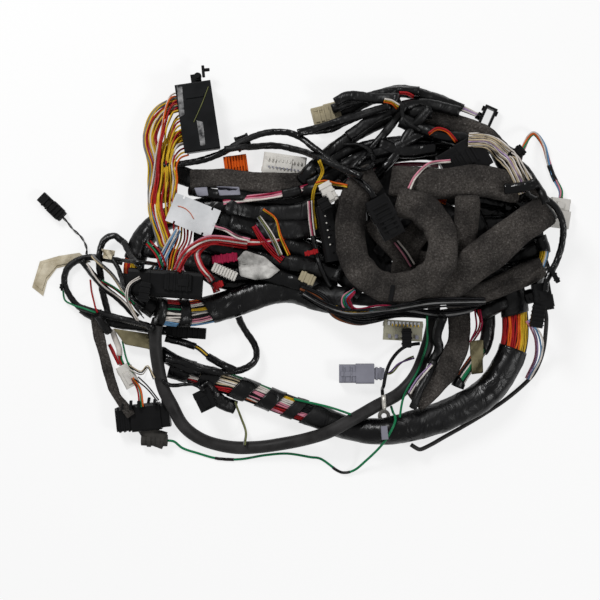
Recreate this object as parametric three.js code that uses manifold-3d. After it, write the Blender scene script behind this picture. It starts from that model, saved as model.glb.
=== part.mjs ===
// Dashboard wiring harness of a car, taken out of the vehicle and lying in a loose heap on a flat surface.
// Millimetres, +Z up. X runs along the heap, Y across it, and the surface is z = 0.
// Every bundle is given as a route seen from above. Its height is worked out: each piece comes to rest on
// the surface and on whatever was laid before it, and sags between its supports as a cable does.
import * as THREE from "three";
import { mergeVertices } from "three/addons/utils/BufferGeometryUtils.js";
import Module from "manifold-3d";

const wasm = await Module();
wasm.setup();

// Gaps
const SEAT_GAP = 0.3; // between two pieces that are joined
const SIDE_GAP = 0.5; // between a bundle's flat end and the round side of a trunk
const LAY_GAP = 0.2; // between a bundle and what it lies on
const EDGE_ROUND = 0.8; // how far the flat underside of a connector ends short of its sides
const STUB = 6; // straight stretch where a bundle leaves a trunk or a connector

// How fine the bundles are
const PLAN_STEP = 3; // spacing of the points at which a bundle's height is worked out
const LONGEST_STEP = 34; // longest straight stretch of a bundle's surface
const ROUND_SIDES = 8;
const TRUNK_SIDES = 12;

// Sag: the curvature of a free span, per millimetre
const STIFF_SAG = 0.006;
const LIMP_SAG = 0.012;

// Taped bundles, round: width, and height where it is flattened
const LOWER_TRUNK = 39;
const LOWER_TRUNK_THIN_END = 0.78; // share of its width at its left end
const SIDE_TRUNK = 17;
const LOOP_CONDUIT = 16;
const SHOULDER_TRUNK = 29;
const CENTRE_TRUNK = 36;
const CENTRE_TRUNK_HEIGHT = 28;
const MIDDLE_TRUNK = 27;
const TOP_TRUNK = 16;
const FLOOR_BUNDLE = 12;
const LEFT_LOOP = 8;
const BRANCH = 8.5;
const ARCH_CABLE = 8;
const TOP_CABLE = 8;
const EDGE_BUNDLE = 8;
const LOWER_ROPE = 12;

// Felt sleeves, flat
const FELT_THICKNESS = 17;
const FELT_COIL_WIDTH = 40;
const FELT_MAIN_WIDTH = 46;
const FELT_LOWER_WIDTH = 30;
const FELT_MIDDLE_WIDTH = 42;
const FELT_SIDE_WIDTH = 34;
const FELT_BACK_WIDTH = 30;
const FELT_TAIL_WIDTH = 31;
const FELT_TAIL_THICKNESS = 10;
const FELT_STRAP_WIDTH = 28;
const FELT_STRAP_THICKNESS = 9;
const LEFT_BAND_WIDTH = 14;
const LEFT_BAND_THICKNESS = 6;

// Bare wires, side by side
const WIRE = 3.6;
const FAN_WIRES = 6;
const FAN_HEIGHT = 9;
const RED_WIRES = 3;
const PINK_WIRES = 3;
const BEIGE_WIRES = 4;
const BEIGE_HEIGHT = 10;

// Free leads
const RING_LEAD = 4.6;
const GREY_LEAD_WIDTH = 5.4;
const GREY_LEAD_HEIGHT = 2.7;
const GREEN_LEAD = 3.2;
const SENSOR_LEAD = 3.2;
const WHITE_LEAD = 8;
const RIGHT_LEAD = 5.5;
const PLUG_LEAD = 6;

// Solids

const solidOf = (geometry) => {
  const bare = geometry.index ? geometry.toNonIndexed() : geometry.clone();
  bare.deleteAttribute("normal");
  bare.deleteAttribute("uv");
  const merged = mergeVertices(bare, 1e-4);
  return new wasm.Manifold(
    new wasm.Mesh({
      numProp: 3,
      vertProperties: merged.attributes.position.array,
      triVerts: new Uint32Array(merged.index.array),
    }),
  );
};

const geometryOf = (solid) => {
  const mesh = solid.getMesh();
  const position = new Float32Array(mesh.numVert * 3);
  for (let i = 0; i < mesh.numVert; i++)
    position.set(mesh.vertProperties.subarray(i * mesh.numProp, i * mesh.numProp + 3), i * 3);
  const geometry = new THREE.BufferGeometry();
  geometry.setAttribute("position", new THREE.BufferAttribute(position, 3));
  geometry.setIndex(new THREE.BufferAttribute(new Uint32Array(mesh.triVerts), 1));
  return geometry;
};

const block = (length, width, height, x, y, z) =>
  solidOf(new THREE.BoxGeometry(length, width, height).translate(x, y, z + height / 2));

// A bar along X whose section in Y and Z is a rectangle with cut or rounded corners, standing on z.
const bar = (length, width, height, corner, x, y, z, turns = 1) => {
  const outline = new THREE.Shape();
  const [w, h] = [width / 2 - corner, height / 2 - corner];
  for (const [cy, cz, first] of [[w, h, 0], [-w, h, 1], [-w, -h, 2], [w, -h, 3]])
    for (let i = 0; i <= turns; i++) {
      const angle = ((first + i / turns) * Math.PI) / 2;
      const point = [cy + corner * Math.cos(angle), cz + corner * Math.sin(angle)];
      if (first === 0 && i === 0) outline.moveTo(...point);
      else outline.lineTo(...point);
    }
  const made = new THREE.ExtrudeGeometry(outline, { depth: length, bevelEnabled: false });
  made.rotateY(Math.PI / 2).rotateX(Math.PI / 2);
  return solidOf(made.translate(x - length / 2, y, z + height / 2));
};

// An upright prism over an outline in X and Y.
const prism = (points, height, z) => {
  const outline = new THREE.Shape(points.map(([x, y]) => new THREE.Vector2(x, y)));
  return solidOf(new THREE.ExtrudeGeometry(outline, { depth: height, bevelEnabled: false }).translate(0, 0, z));
};

// A round bar: along X, or upright.
const rod = (radius, length, x, y, z, sides = 12) =>
  solidOf(new THREE.CylinderGeometry(radius, radius, length, sides).rotateZ(-Math.PI / 2).translate(x, y, z));
const post = (radius, height, x, y, z, sides = 12) =>
  solidOf(new THREE.CylinderGeometry(radius, radius, height, sides).rotateX(Math.PI / 2).translate(x, y, z + height / 2));

const joined = (first, ...rest) => rest.reduce((sum, piece) => sum.add(piece), first);
const cutBy = (first, ...rest) => rest.reduce((left, piece) => left.subtract(piece), first);

// Materials

const finish = (color, roughness, metalness = 0) =>
  new THREE.MeshStandardMaterial({ color, roughness, metalness });
const TAPE = finish(0x17181a, 0.35);
const CONDUIT = finish(0x2b2b2c, 0.55);
const FELT = finish(0x4b4744, 0.95);
const BLACK_PLASTIC = finish(0x141416, 0.5);
const DARK_COVER = finish(0x1d2024, 0.4);
const WHITE_PLASTIC = finish(0xe4e2dc, 0.45);
const BEIGE_PLASTIC = finish(0xb9b196, 0.5);
const GREY_PLASTIC = finish(0x85858f, 0.5);
const ORANGE_PLASTIC = finish(0xd2520c, 0.45);
const RUBBER = finish(0x3b3a38, 0.8);
const TIN = finish(0xc3c0b8, 0.35, 0.9);
const OLIVE_TAPE = finish(0x7c7558, 0.7);
const MASKING_TAPE = finish(0xd3c8b2, 0.8);
const YELLOW_WIRE = finish(0xc9a52a, 0.4);
const WHITE_WIRE = finish(0xdcd3cf, 0.4);
const GREEN_WIRE = finish(0x2f7d57, 0.4);

const harness = new THREE.Group();

const addMesh = (name, geometry, material) => {
  const mesh = new THREE.Mesh(geometry, material);
  mesh.name = name;
  harness.add(mesh);
  return mesh;
};

// The pile: what has been laid so far, as balls along the bundles and as upright blocks.

const balls = [];
const blocks = [];

// How far a point is from a turned rectangle seen from above; negative inside.
const offRectangle = (x, y, b) => {
  const [dx, dy] = [x - b.x, y - b.y];
  const along = Math.abs(dx * b.cos + dy * b.sin) - b.length / 2;
  const across = Math.abs(dy * b.cos - dx * b.sin) - b.width / 2;
  return along > 0 && across > 0 ? Math.hypot(along, across) : Math.max(along, across);
};

// The lowest centre height at which a ball clears the surface and everything in the pile.
const restingHeight = (x, y, radius, joints) => {
  let height = radius;
  const skip = (owner, px, py) =>
    joints.some((j) => j.owner === owner && Math.hypot(px - j.x, py - j.y) < j.reach);
  for (const b of balls) {
    const reach = radius + b.radius + LAY_GAP;
    const [dx, dy] = [x - b.x, y - b.y];
    const flat = dx * dx + dy * dy;
    if (flat >= reach * reach || skip(b.owner, x, y)) continue;
    height = Math.max(height, b.z + Math.sqrt(reach * reach - flat));
  }
  for (const b of blocks) {
    const reach = radius + LAY_GAP;
    const off = offRectangle(x, y, b);
    if (off >= reach || skip(b.owner, x, y)) continue;
    height = Math.max(height, b.top + (off <= 0 ? reach : Math.sqrt(reach * reach - off * off)));
  }
  return height;
};

// The lowest height of a block's underside at which it clears everything in the pile.
const restingFloor = (b) => {
  let floor = 0;
  for (const ball of balls) {
    const off = offRectangle(ball.x, ball.y, b) + EDGE_ROUND;
    const reach = ball.radius + LAY_GAP;
    if (off < reach) floor = Math.max(floor, ball.z + Math.sqrt(reach * reach - Math.max(off, 0) ** 2));
  }
  for (const other of blocks) {
    const meets = [other, b].some((one) => {
      const two = one === b ? other : b;
      for (let i = -4; i <= 4; i++)
        for (let j = -4; j <= 4; j++) {
          const [u, v] = [(i / 8) * one.length, (j / 8) * one.width];
          const [x, y] = [one.x + u * one.cos - v * one.sin, one.y + u * one.sin + v * one.cos];
          if (offRectangle(x, y, two) < LAY_GAP) return true;
        }
      return false;
    });
    if (meets) floor = Math.max(floor, other.top + LAY_GAP);
  }
  return floor;
};

// Connectors and clips. Each is made with its mating side towards +X and its wires leaving at its rear, -X.

const housings = new Map();

const place = (name, solid, material, { at, yaw, length, width, height, rear, exit, floor }) => {
  const turn = (yaw * Math.PI) / 180;
  const b = { owner: name, x: at[0], y: at[1], cos: Math.cos(turn), sin: Math.sin(turn), length, width };
  b.floor = floor ?? restingFloor(b);
  b.top = b.floor + height;
  blocks.push(b);
  b.rear = rear ?? -length / 2;
  b.exit = exit ?? height / 2;
  housings.set(name, b);
  const mesh = addMesh(name, geometryOf(solid), material);
  mesh.position.set(at[0], at[1], b.floor);
  mesh.rotation.z = turn;
};

// Bundles

const laid = new Map();

class BundlePath extends THREE.Curve {
  constructor(rings) {
    super();
    this.rings = rings;
  }
  getPoint(t) {
    return this.rings[Math.round(t * (this.rings.length - 1))].centre;
  }
  getSpacedPoints() {
    return this.rings.map((ring) => ring.centre);
  }
  // The two directions of each section, as long as the bundle's half width and half height there.
  computeFrenetFrames() {
    return {
      tangents: this.rings.map((ring) => ring.tangent),
      normals: this.rings.map((ring) => ring.across),
      binormals: this.rings.map((ring) => ring.up),
    };
  }
}

// Sections, in units of the half width and the half height.
const roundSection = (sides) =>
  Array.from({ length: sides }, (_, i) => {
    const angle = (i / sides) * 2 * Math.PI;
    return [Math.cos(angle), Math.sin(angle)];
  });

const flatSection = (width, height, turns = 4) => {
  const corner = height / width;
  const points = [];
  for (const side of [1, -1])
    for (let i = 0; i <= turns; i++) {
      const angle = side * (-Math.PI / 2 + (i / turns) * Math.PI);
      points.push([side * (1 - corner) + side * corner * Math.cos(angle), Math.sin(angle)]);
    }
  return points;
};

// Wires side by side: a row of round tops above and below, lower towards the sides.
const ribbonSection = (count, width, height) => {
  const points = [];
  const flat = 1 - height / width;
  for (const side of [1, -1])
    for (let wire = 0; wire < count; wire++)
      for (let i = 1; i <= 3; i++) {
        const angle = (i / 4) * Math.PI;
        const x = side * (1 - (2 * wire + 1 - Math.cos(angle)) / count);
        const over = Math.max(Math.abs(x) - flat, 0) / (1 - flat);
        points.push([x, side * Math.sin(angle) * Math.sqrt(1 - over * over)]);
      }
  return points;
};

// Where a bundle meets the side of a trunk: the point on the trunk's middle nearest to a place in plan,
// and the distance out from it at which a flat end clears the trunk.
const onTrunk = (name, near, towards, radius) => {
  const trunk = laid.get(name);
  let best = null;
  for (let i = 0; i + 1 < trunk.rings.length; i++) {
    const [a, b] = [trunk.rings[i], trunk.rings[i + 1]];
    const span = b.centre.clone().sub(a.centre);
    const t = THREE.MathUtils.clamp(
      ((near[0] - a.centre.x) * span.x + (near[1] - a.centre.y) * span.y) / (span.x ** 2 + span.y ** 2), 0, 1);
    const centre = a.centre.clone().addScaledVector(span, t);
    const far = Math.hypot(near[0] - centre.x, near[1] - centre.y);
    if (!best || far < best.far)
      best = { far, centre, span, half: Math.max(a.across.length(), b.across.length()) };
  }
  const direction = new THREE.Vector2(towards[0] - best.centre.x, towards[1] - best.centre.y).normalize();
  const along = new THREE.Vector2(best.span.x, best.span.y).normalize();
  const slant = Math.abs(direction.dot(along));
  const square = Math.sqrt(1 - slant * slant);
  const out = (best.half + SIDE_GAP + radius * slant) / Math.max(square, 0.3);
  return {
    owner: name, x: best.centre.x, y: best.centre.y, z: best.centre.z, direction, out,
    reach: out + radius * 1.5 + STUB,
  };
};

// Where a bundle meets a connector: square to its rear face.
const onHousing = (name, side = 0) => {
  const b = housings.get(name);
  const direction = new THREE.Vector2(-b.cos, -b.sin);
  return {
    owner: name, x: b.x + b.rear * b.cos - side * b.sin, y: b.y + b.rear * b.sin + side * b.cos,
    z: b.floor + b.exit, direction, out: SEAT_GAP, reach: b.length + STUB,
  };
};

// Where a bundle carries on from the end of another one.
const onEnd = (name, radius) => {
  const rings = laid.get(name).rings;
  const last = rings[rings.length - 1];
  const direction = new THREE.Vector2(last.tangent.x, last.tangent.y).normalize();
  return {
    owner: name, x: last.centre.x, y: last.centre.y, z: last.centre.z, direction,
    out: SEAT_GAP + radius * Math.abs(last.tangent.z), reach: 2.5 * radius + STUB,
  };
};

const joint = (where, next, radius) => {
  if (!where) return null;
  if (where.trunk) return onTrunk(where.trunk, where.near, next, radius);
  if (where.housing) return onHousing(where.housing, where.side);
  return onEnd(where.end, radius);
};

// Lays one bundle along its route and adds its mesh.
const lay = (name, material, { route, width, height = width, section, sag = STIFF_SAG, taper, from, to, fine = 0.7 }) => {
  const start = joint(from, route[0], width / 2);
  const end = joint(to, route[route.length - 1], width / 2);
  const plan = route.map(([x, y]) => new THREE.Vector3(x, y, 0));
  const stub = (j) => [j.out, j.out + STUB].map((d) => new THREE.Vector3(j.x + j.direction.x * d, j.y + j.direction.y * d, 0));
  if (start) plan.unshift(...stub(start));
  if (end) plan.push(...stub(end).reverse());
  const curve = new THREE.CatmullRomCurve3(plan, false, "centripetal");
  const count = Math.ceil(curve.getLength() / Math.min(PLAN_STEP, Math.max(width, 4) / 2));
  curve.arcLengthDivisions = count * 8;
  curve.updateArcLengths();
  const points = curve.getSpacedPoints(count);
  const step = curve.getLength() / count;
  const size = (t) => {
    if (!taper) return 1;
    const i = Math.max(1, taper.findIndex(([at]) => at >= t));
    const [[t0, s0], [t1, s1]] = [taper[i - 1], taper[i]];
    return s0 + (s1 - s0) * THREE.MathUtils.smoothstep(t, t0, t1);
  };

  // The lowest height at each point, with the bundle's width taken as a row of balls across it.
  const joints = [start, end].filter(Boolean);
  const across = (i, list) => {
    const ahead = list[Math.min(i + 1, list.length - 1)].clone().sub(list[Math.max(i - 1, 0)]).setZ(0).normalize();
    return new THREE.Vector3(-ahead.y, ahead.x, 0);
  };
  const lowest = (p, side, t) => {
    const [half, radius] = [(size(t) * width) / 2, (size(t) * height) / 2];
    const spare = Math.max(half - radius, 0);
    const rows = Math.max(1, Math.ceil(spare / (radius * 0.6)));
    let low = 0;
    for (let k = -rows; k <= rows; k++) {
      const off = (k / rows) * spare;
      low = Math.max(low, restingHeight(p.x + side.x * off, p.y + side.y * off, radius, joints));
      if (!spare) break;
    }
    return low;
  };
  const low = points.map((p, i) => lowest(p, across(i, points), i / count));
  const z = low.slice();
  const held = Math.ceil(STUB / step);
  const isHeld = (i) => (start && i <= held) || (end && i >= count - held);
  for (let i = 0; i <= count; i++) if (isHeld(i)) z[i] = i <= held && start ? start.z : end.z;

  // A cable under its own weight: straight between its supports, less the sag of a free span.
  const drop = (sag * step * step) / 2;
  for (let pass = 0; pass < 1500; pass++)
    for (let i = 0; i <= count; i++) {
      if (isHeld(i)) continue;
      const before = z[Math.max(i - 1, 0)];
      const after = z[Math.min(i + 1, count)];
      const free = i === 0 ? after - drop : i === count ? before - drop : (before + after) / 2 - drop;
      z[i] = Math.max(low[i], z[i] + 1.6 * (free - z[i]));
    }
  points.forEach((p, i) => p.setZ(z[i]));

  // Sections where the line bends, and never further apart than the longest step.
  const chosen = start ? [0, held] : [0];
  for (let i = chosen.length; i <= count; i++) {
    const first = chosen[chosen.length - 1];
    const span = new THREE.Line3(points[first], points[i]);
    const bent = points.slice(first + 1, i).some(
      (p) => span.closestPointToPoint(p, true, new THREE.Vector3()).distanceTo(p) > fine);
    if (i - first > 1 && (bent || (i - first) * step > LONGEST_STEP)) chosen.push(i - 1);
    if (end && i === count - held) break;
  }
  const rest = end ? [count - held, count] : [count];
  if (rest[0] - chosen[chosen.length - 1] < 2 && chosen.length > 2) chosen.pop();
  chosen.push(...rest);

  // A straight stretch cuts the corner of a bend, so it is lifted until it clears what lies under it.
  const knots = chosen.map((i) => points[i].clone());
  const movable = chosen.map((i) => !isHeld(i));
  const spans = knots.slice(1).map((after, k) => {
    const parts = chosen[k + 1] - chosen[k];
    const side = new THREE.Vector3(knots[k].y - after.y, after.x - knots[k].x, 0).normalize();
    return Array.from({ length: parts + 1 }, (_, j) => {
      const share = j / parts;
      return { share, low: lowest(knots[k].clone().lerp(after, share), side, (chosen[k] + j) / count) };
    });
  });
  const room = (k, { share, low: least }) => THREE.MathUtils.lerp(knots[k].z, knots[k + 1].z, share) - least;
  const unlifted = knots.map((knot) => knot.z);
  for (let pass = 0; pass < 6; pass++)
    spans.forEach((span, k) => {
      for (const point of span) {
        const short = -room(k, point);
        if (short <= 0.02) continue;
        if (movable[k]) knots[k].z += short;
        if (movable[k + 1]) knots[k + 1].z += short;
      }
    });

  // What was lifted too far comes down again until it touches.
  for (let pass = 0; pass < 4; pass++)
    knots.forEach((knot, k) => {
      let spare = knot.z - unlifted[k];
      if (spare <= 0 || !movable[k]) return;
      if (k > 0)
        for (const point of spans[k - 1])
          if (point.share > 0.05) spare = Math.min(spare, room(k - 1, point) / point.share);
      if (k < spans.length)
        for (const point of spans[k])
          if (point.share < 0.95) spare = Math.min(spare, room(k, point) / (1 - point.share));
      knot.z -= Math.max(spare, 0);
    });

  const rings = knots.map((centre, k) => {
    const into = knots[Math.max(k, 1)].clone().sub(knots[Math.max(k, 1) - 1]).normalize();
    const out = knots[Math.min(k, knots.length - 2) + 1].clone().sub(knots[Math.min(k, knots.length - 2)]).normalize();
    const tangent = into.add(out).normalize();
    if (start && k === 0) tangent.set(start.direction.x, start.direction.y, 0);
    if (end && k === knots.length - 1) tangent.set(-end.direction.x, -end.direction.y, 0);
    const side = new THREE.Vector3(-tangent.y, tangent.x, 0).normalize();
    const scale = size(chosen[k] / count);
    return {
      centre, tangent,
      across: side.clone().multiplyScalar((scale * width) / 2),
      up: tangent.clone().cross(side).multiplyScalar((scale * height) / 2),
    };
  });
  laid.set(name, { rings });

  // The laid bundle joins the pile as rows of balls.
  for (let k = 0; k + 1 < rings.length; k++) {
    const [a, b] = [rings[k], rings[k + 1]];
    const half = a.across.length();
    const radius = a.up.length();
    const parts = Math.max(1, Math.ceil(a.centre.distanceTo(b.centre) / (radius * 0.4)));
    const spare = Math.max(half - radius, 0);
    const rows = spare ? Math.max(1, Math.ceil(spare / (radius * 0.5))) : 0;
    for (let j = 0; j < parts + (k + 2 === rings.length ? 1 : 0); j++) {
      const t = j / parts;
      const p = a.centre.clone().lerp(b.centre, t);
      const r = THREE.MathUtils.lerp(radius, b.up.length(), t);
      const reach = THREE.MathUtils.lerp(spare, Math.max(b.across.length() - b.up.length(), 0), t);
      const side = a.across.clone().lerp(b.across, t).normalize();
      for (let row = -rows; row <= rows; row++) {
        const off = rows ? (row / rows) * reach : 0;
        balls.push({ owner: name, x: p.x + side.x * off, y: p.y + side.y * off, z: p.z, radius: r });
      }
    }
  }

  const outline = new THREE.Shape((section ?? roundSection(ROUND_SIDES)).map(([x, y]) => new THREE.Vector2(x, y)));
  const geometry = new THREE.ExtrudeGeometry(outline, { steps: rings.length - 1, extrudePath: new BundlePath(rings), bevelEnabled: false });
  addMesh(name, geometry, material);
};

// Forms of the connectors and clips, each about its own middle, standing on z = 0

// A sealed plug: an open hood, a thicker middle with a latch, and a neck for the seal.
const SEALED = { length: 57, width: 25, height: 19, hood: 21, neck: 13, wall: 2, depth: 15 };
const sealedPlug = ({ length, width, height, hood, neck, wall, depth }) => {
  const front = length / 2;
  const middle = length - hood - neck;
  const neckWidth = width * 0.56;
  const seal = (share) => block(2.4, neckWidth + 2, height * 0.7, -front + neck * share, 0, height * 0.15);
  return cutBy(
    joined(
      bar(hood + 1, width - 2, height - 3, 2, front - hood / 2 - 0.5, 0, 1.5, 2),
      bar(middle, width, height, 2.5, front - hood - middle / 2, 0, 0, 2),
      bar(neck + 1, neckWidth, height * 0.66, 2, -front + neck / 2 + 0.5, 0, height * 0.17, 2),
      block(hood + 6, 6, 2.2, front - hood / 2 - 5, 0, height - 2.6),
      seal(0.35),
      seal(0.75),
    ),
    bar(depth * 2, width - 2 - 2 * wall, height - 3 - 2 * wall, 1, front, 0, 1.5 + wall),
  );
};

// A plug with a latch on top, side ribs and a shallow mouth for the wires at its rear.
const ribbedPlug = ({ length, width, height, ribs = 3, latch = 8, corner = 1.5 }) => {
  const pieces = [
    bar(length, width - 2, height - 2, corner, 0, 0, 0),
    bar(length * 0.45, width, height - 1, corner, -length * 0.18, 0, 0),
    block(length * 0.5, latch, 1.8, length * 0.18, 0, height - 2.2),
    block(3, latch + 4, 2.4, -length * 0.1, 0, height - 2.4),
  ];
  for (let i = 0; i < ribs; i++) {
    const y = (i - (ribs - 1) / 2) * (width / (ribs + 0.6));
    pieces.push(block(length * 0.36, 1.6, 1, length * 0.25, y, height - 2.1));
  }
  return cutBy(joined(...pieces), block(4, width * 0.7, height * 0.5, -length / 2, 0, height * 0.22));
};

// A header with rows of square terminal cavities in its mating face.
const cavityPlug = ({ length, width, height, columns, rows, cavity, depth }) => {
  const pitch = width / (columns + 0.6);
  const lift = height / (rows + 0.5);
  const cuts = [];
  for (let i = 0; i < columns; i++)
    for (let j = 0; j < rows; j++) {
      const y = (i - (columns - 1) / 2) * pitch;
      cuts.push(block(depth * 2, cavity, cavity, length / 2, y, lift * (j + 0.75) - cavity / 2));
    }
  const shell = joined(
    bar(length, width - 1.6, height - 2, 1.5, 0, 0, 0),
    block(length * 0.5, width * 0.34, 2.4, length * 0.1, 0, height - 2.4),
    block(length * 0.2, width, height * 0.55, -length * 0.28, 0, 0),
  );
  return cutBy(shell, ...cuts);
};

// The junction block: a deep body with wire cavities along its left face, a cover, and a clip at its end.
const JUNCTION = { length: 45, width: 86, height: 34, cover: 5, lip: 1.5, cavities: 9, cavity: 3.8 };
const junctionBlock = ({ length, width, height, cover, lip, cavities, cavity }) => {
  const pitch = (width - 8) / cavities;
  const body = joined(
    bar(length - 2 * lip, width - 2 * lip, height - cover + 1, 2, 0, 0, 0),
    bar(length, width, cover, 1.5, 0, 0, height - cover),
    block(length * 0.5, 4, 2, 0, width * 0.3, height - 0.5),
    block(13, 14, 4, length * 0.1, width / 2 + 5, height * 0.45),
    post(2.6, 9, length * 0.16, width / 2 + 8, height * 0.45 + 3),
    post(5, 2, length * 0.16, width / 2 + 8, height * 0.45 + 7),
  );
  const cuts = [];
  for (let i = 0; i < cavities; i++)
    for (const z of [5, 17])
      cuts.push(block(8, cavity, cavity + 2, -length / 2 + lip, (i - (cavities - 1) / 2) * pitch, z));
  return cutBy(body, ...cuts);
};

// A long rounded plug with a row of round sight holes in its top.
const LONG_PLUG = { length: 70, width: 26, height: 20, hole: 1.7, pitch: 11 };
const longPlug = ({ length, width, height, hole, pitch }) => {
  const body = joined(
    bar(length, width, height, 7, 0, 0, 0, 3),
    block(length * 0.3, width * 0.5, 2, -length * 0.2, 0, height - 0.8),
  );
  const holes = [0, 1, 2, 3].map((i) => post(hole, 5, length * 0.36 - i * pitch, 0, height - 2, 8));
  return cutBy(body, block(5, width * 0.6, height * 0.5, -length / 2, 0, height * 0.25), ...holes);
};

// The end of a lead: a crimped barrel and a flat ring with its bolt hole.
const RING = { length: 34, ring: 16, hole: 6.6, sheet: 1.2, barrel: 5.2 };
const ringTerminal = ({ length, ring, hole, sheet, barrel }) => {
  const front = length / 2 - ring / 2;
  const flat = joined(
    post(ring / 2, sheet, front, 0, 0, 20),
    block(front + length / 2 - barrel, ring * 0.42, sheet, (front - length / 2 + barrel) / 2 + 0, 0, 0),
    rod(barrel / 2, 11, -length / 2 + 5.5, 0, barrel / 2, 10),
  );
  return cutBy(flat, post(hole / 2, 4 * sheet, front, 0, -sheet, 16));
};

// A flat frame with a rectangular opening and two lugs.
const CLIP_FRAME = { length: 16, width: 33, height: 12, wall: 3.2 };
const clipFrame = ({ length, width, height, wall }) =>
  cutBy(
    joined(bar(length, width, height, 1.5, 0, 0, 0), block(length + 5, 6, 5, 0, width / 2 - 5, 0)),
    block(length - 2 * wall, width - 2 * wall, height * 3, 0, 0, -height),
  );

// A card with two slots in each long edge.
const PLATE = { length: 60, width: 37, height: 1.6, slot: 2.4, slotDepth: 7, slotAt: 19 };
const labelPlate = ({ length, width, height, slot, slotDepth, slotAt }) => {
  const card = block(length, width, height, 0, 0, 0);
  const slots = [];
  for (const x of [-slotAt, slotAt])
    for (const y of [-width / 2, width / 2]) slots.push(block(slot, slotDepth, height * 3, x, y, -height));
  return cutBy(card, ...slots);
};

// A long cover round the bundles where they meet, with two bands and a mouth at each end.
const SHROUD = { length: 92, width: 36, height: 15, band: 3, mouth: 3 };
const wireShroud = ({ length, width, height, band, mouth }) => {
  const mouthAt = (x) => bar(2 * mouth, width - 8, height - 7, 3, x, 0, 3.5, 2);
  return cutBy(
    joined(
      bar(length, width - 2, height - 1, 5, 0, 0, 0, 2),
      bar(band, width, height, 5.5, length * 0.22, 0, 0, 2),
      bar(band, width, height, 5.5, -length * 0.22, 0, 0, 2),
    ),
    mouthAt(length / 2),
    mouthAt(-length / 2),
  );
};

// A crumpled flag of masking tape, folded over once.
const TAPE_FLAG_OUTLINE = [[-38, -20], [-24, -31], [-19, -12], [-7, 4], [12, 9], [37, 12], [22, 24], [-4, 20], [-28, 13]];
const tapeFlag = () =>
  joined(
    prism(TAPE_FLAG_OUTLINE, 2, 0),
    prism([[-34, -16], [-25, -24], [-20, -8], [-6, 8], [14, 12], [10, 18], [-22, 11]], 1.6, 1.6),
  );

// A round cap with a collar at each end and grip ribs between, lying on its side.
const CAP = { length: 18, radius: 10, ribs: 10, collar: 3, grip: 1 };
const ribbedCap = ({ length, radius, ribs, collar, grip }) => {
  const pieces = [
    rod(radius - 2 * grip, length, 0, 0, radius, 16),
    rod(radius, collar, (length - collar) / 2, 0, radius, 16),
    rod(radius, collar, (collar - length) / 2, 0, radius, 16),
  ];
  for (let i = 0; i < ribs; i++) {
    const angle = (i / ribs) * 2 * Math.PI;
    const [y, z] = [Math.cos(angle), Math.sin(angle)].map((v) => (radius - 2 * grip) * v);
    pieces.push(block(length - collar, 2 * grip, 2 * grip, 0, y, radius + z - grip));
  }
  return joined(...pieces);
};

// A block of six plugs under one cover, with its mouth for the wires.
const CORNER = { length: 68, width: 30, height: 22 };
const cornerBlock = ({ length, width, height }) => {
  const pieces = [bar(length, width, height - 3, 3, 0, 0, 0, 2), bar(length * 0.55, width + 4, height, 3, length * 0.06, 0, 0, 2)];
  for (let i = 0; i < 4; i++) pieces.push(block(2, width + 2, height - 2, -length * 0.44 + i * 6, 0, 0));
  return cutBy(joined(...pieces), block(length * 0.5, 6, 7, 0, width / 2 + 1, height * 0.3));
};

// A rubber boot with two beads.
const BOOT = { length: 33, radius: 9 };
const rubberBoot = ({ length, radius }) =>
  joined(
    rod(radius - 1.5, length, 0, 0, radius, 12),
    rod(radius, 5, length * 0.2, 0, radius, 12),
    rod(radius, 5, -length * 0.15, 0, radius, 12),
  );

// What lies on the surface first

place("lower_left_tape_flag", tapeFlag(), MASKING_TAPE, {
  at: [-302, 36], yaw: 0, length: 76, width: 54, height: 3.2, floor: 0,
});
place("grey_plug", sealedPlug(SEALED), GREY_PLASTIC, { at: [78, -93], yaw: 180, ...SEALED, floor: 0 });
place("ring_terminal", ringTerminal(RING), TIN, {
  at: [106, -138], yaw: -86, length: RING.length, width: RING.ring, height: RING.barrel, exit: RING.barrel / 2, floor: 0,
});
const SENSOR = { length: 38, width: 16, height: 14, ribs: 2, latch: 6 };
const SENSOR_AT = [-314, 118];
place("sensor_plug", ribbedPlug(SENSOR), BLACK_PLASTIC, { at: SENSOR_AT, yaw: 136, ...SENSOR, floor: 0 });
const WHITE_SMALL = { length: 30, width: 20, height: 12, columns: 4, rows: 2, cavity: 2.6, depth: 9 };
place("left_white_plug", cavityPlug(WHITE_SMALL), WHITE_PLASTIC, { at: [-218, -96], yaw: -62, ...WHITE_SMALL, floor: 0 });
place("corner_block", cornerBlock(CORNER), BLACK_PLASTIC, { at: [-198, -148], yaw: 6, ...CORNER, width: CORNER.width + 4, floor: 0 });
place("corner_boot", rubberBoot(BOOT), RUBBER, {
  at: [-184, -177], yaw: 178, length: BOOT.length, width: 2 * BOOT.radius, height: 2 * BOOT.radius, floor: 0,
});
place("junction_block", junctionBlock(JUNCTION), DARK_COVER, {
  at: [-128, 229], yaw: 8.5, ...JUNCTION, rear: JUNCTION.lip - JUNCTION.length / 2, floor: 0,
});
const RIGHT_PLUG = { length: 15, width: 26, height: 15, columns: 6, rows: 2, cavity: 2.6, depth: 6 };
const RIGHT_PLUG_AT = [329, 121];
const RIGHT_YAW = -98;
const RIGHT_SOCKET = { length: 22, width: 30, height: 17, columns: 6, rows: 2, cavity: 3, depth: 12 };
place("right_white_plug", cavityPlug(RIGHT_PLUG), WHITE_PLASTIC, {
  at: RIGHT_PLUG_AT, yaw: RIGHT_YAW, ...RIGHT_PLUG, floor: 0,
});
const mated = (RIGHT_PLUG.length + RIGHT_SOCKET.length) / 2 + SEAT_GAP;
const facing = (RIGHT_YAW * Math.PI) / 180;
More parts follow.
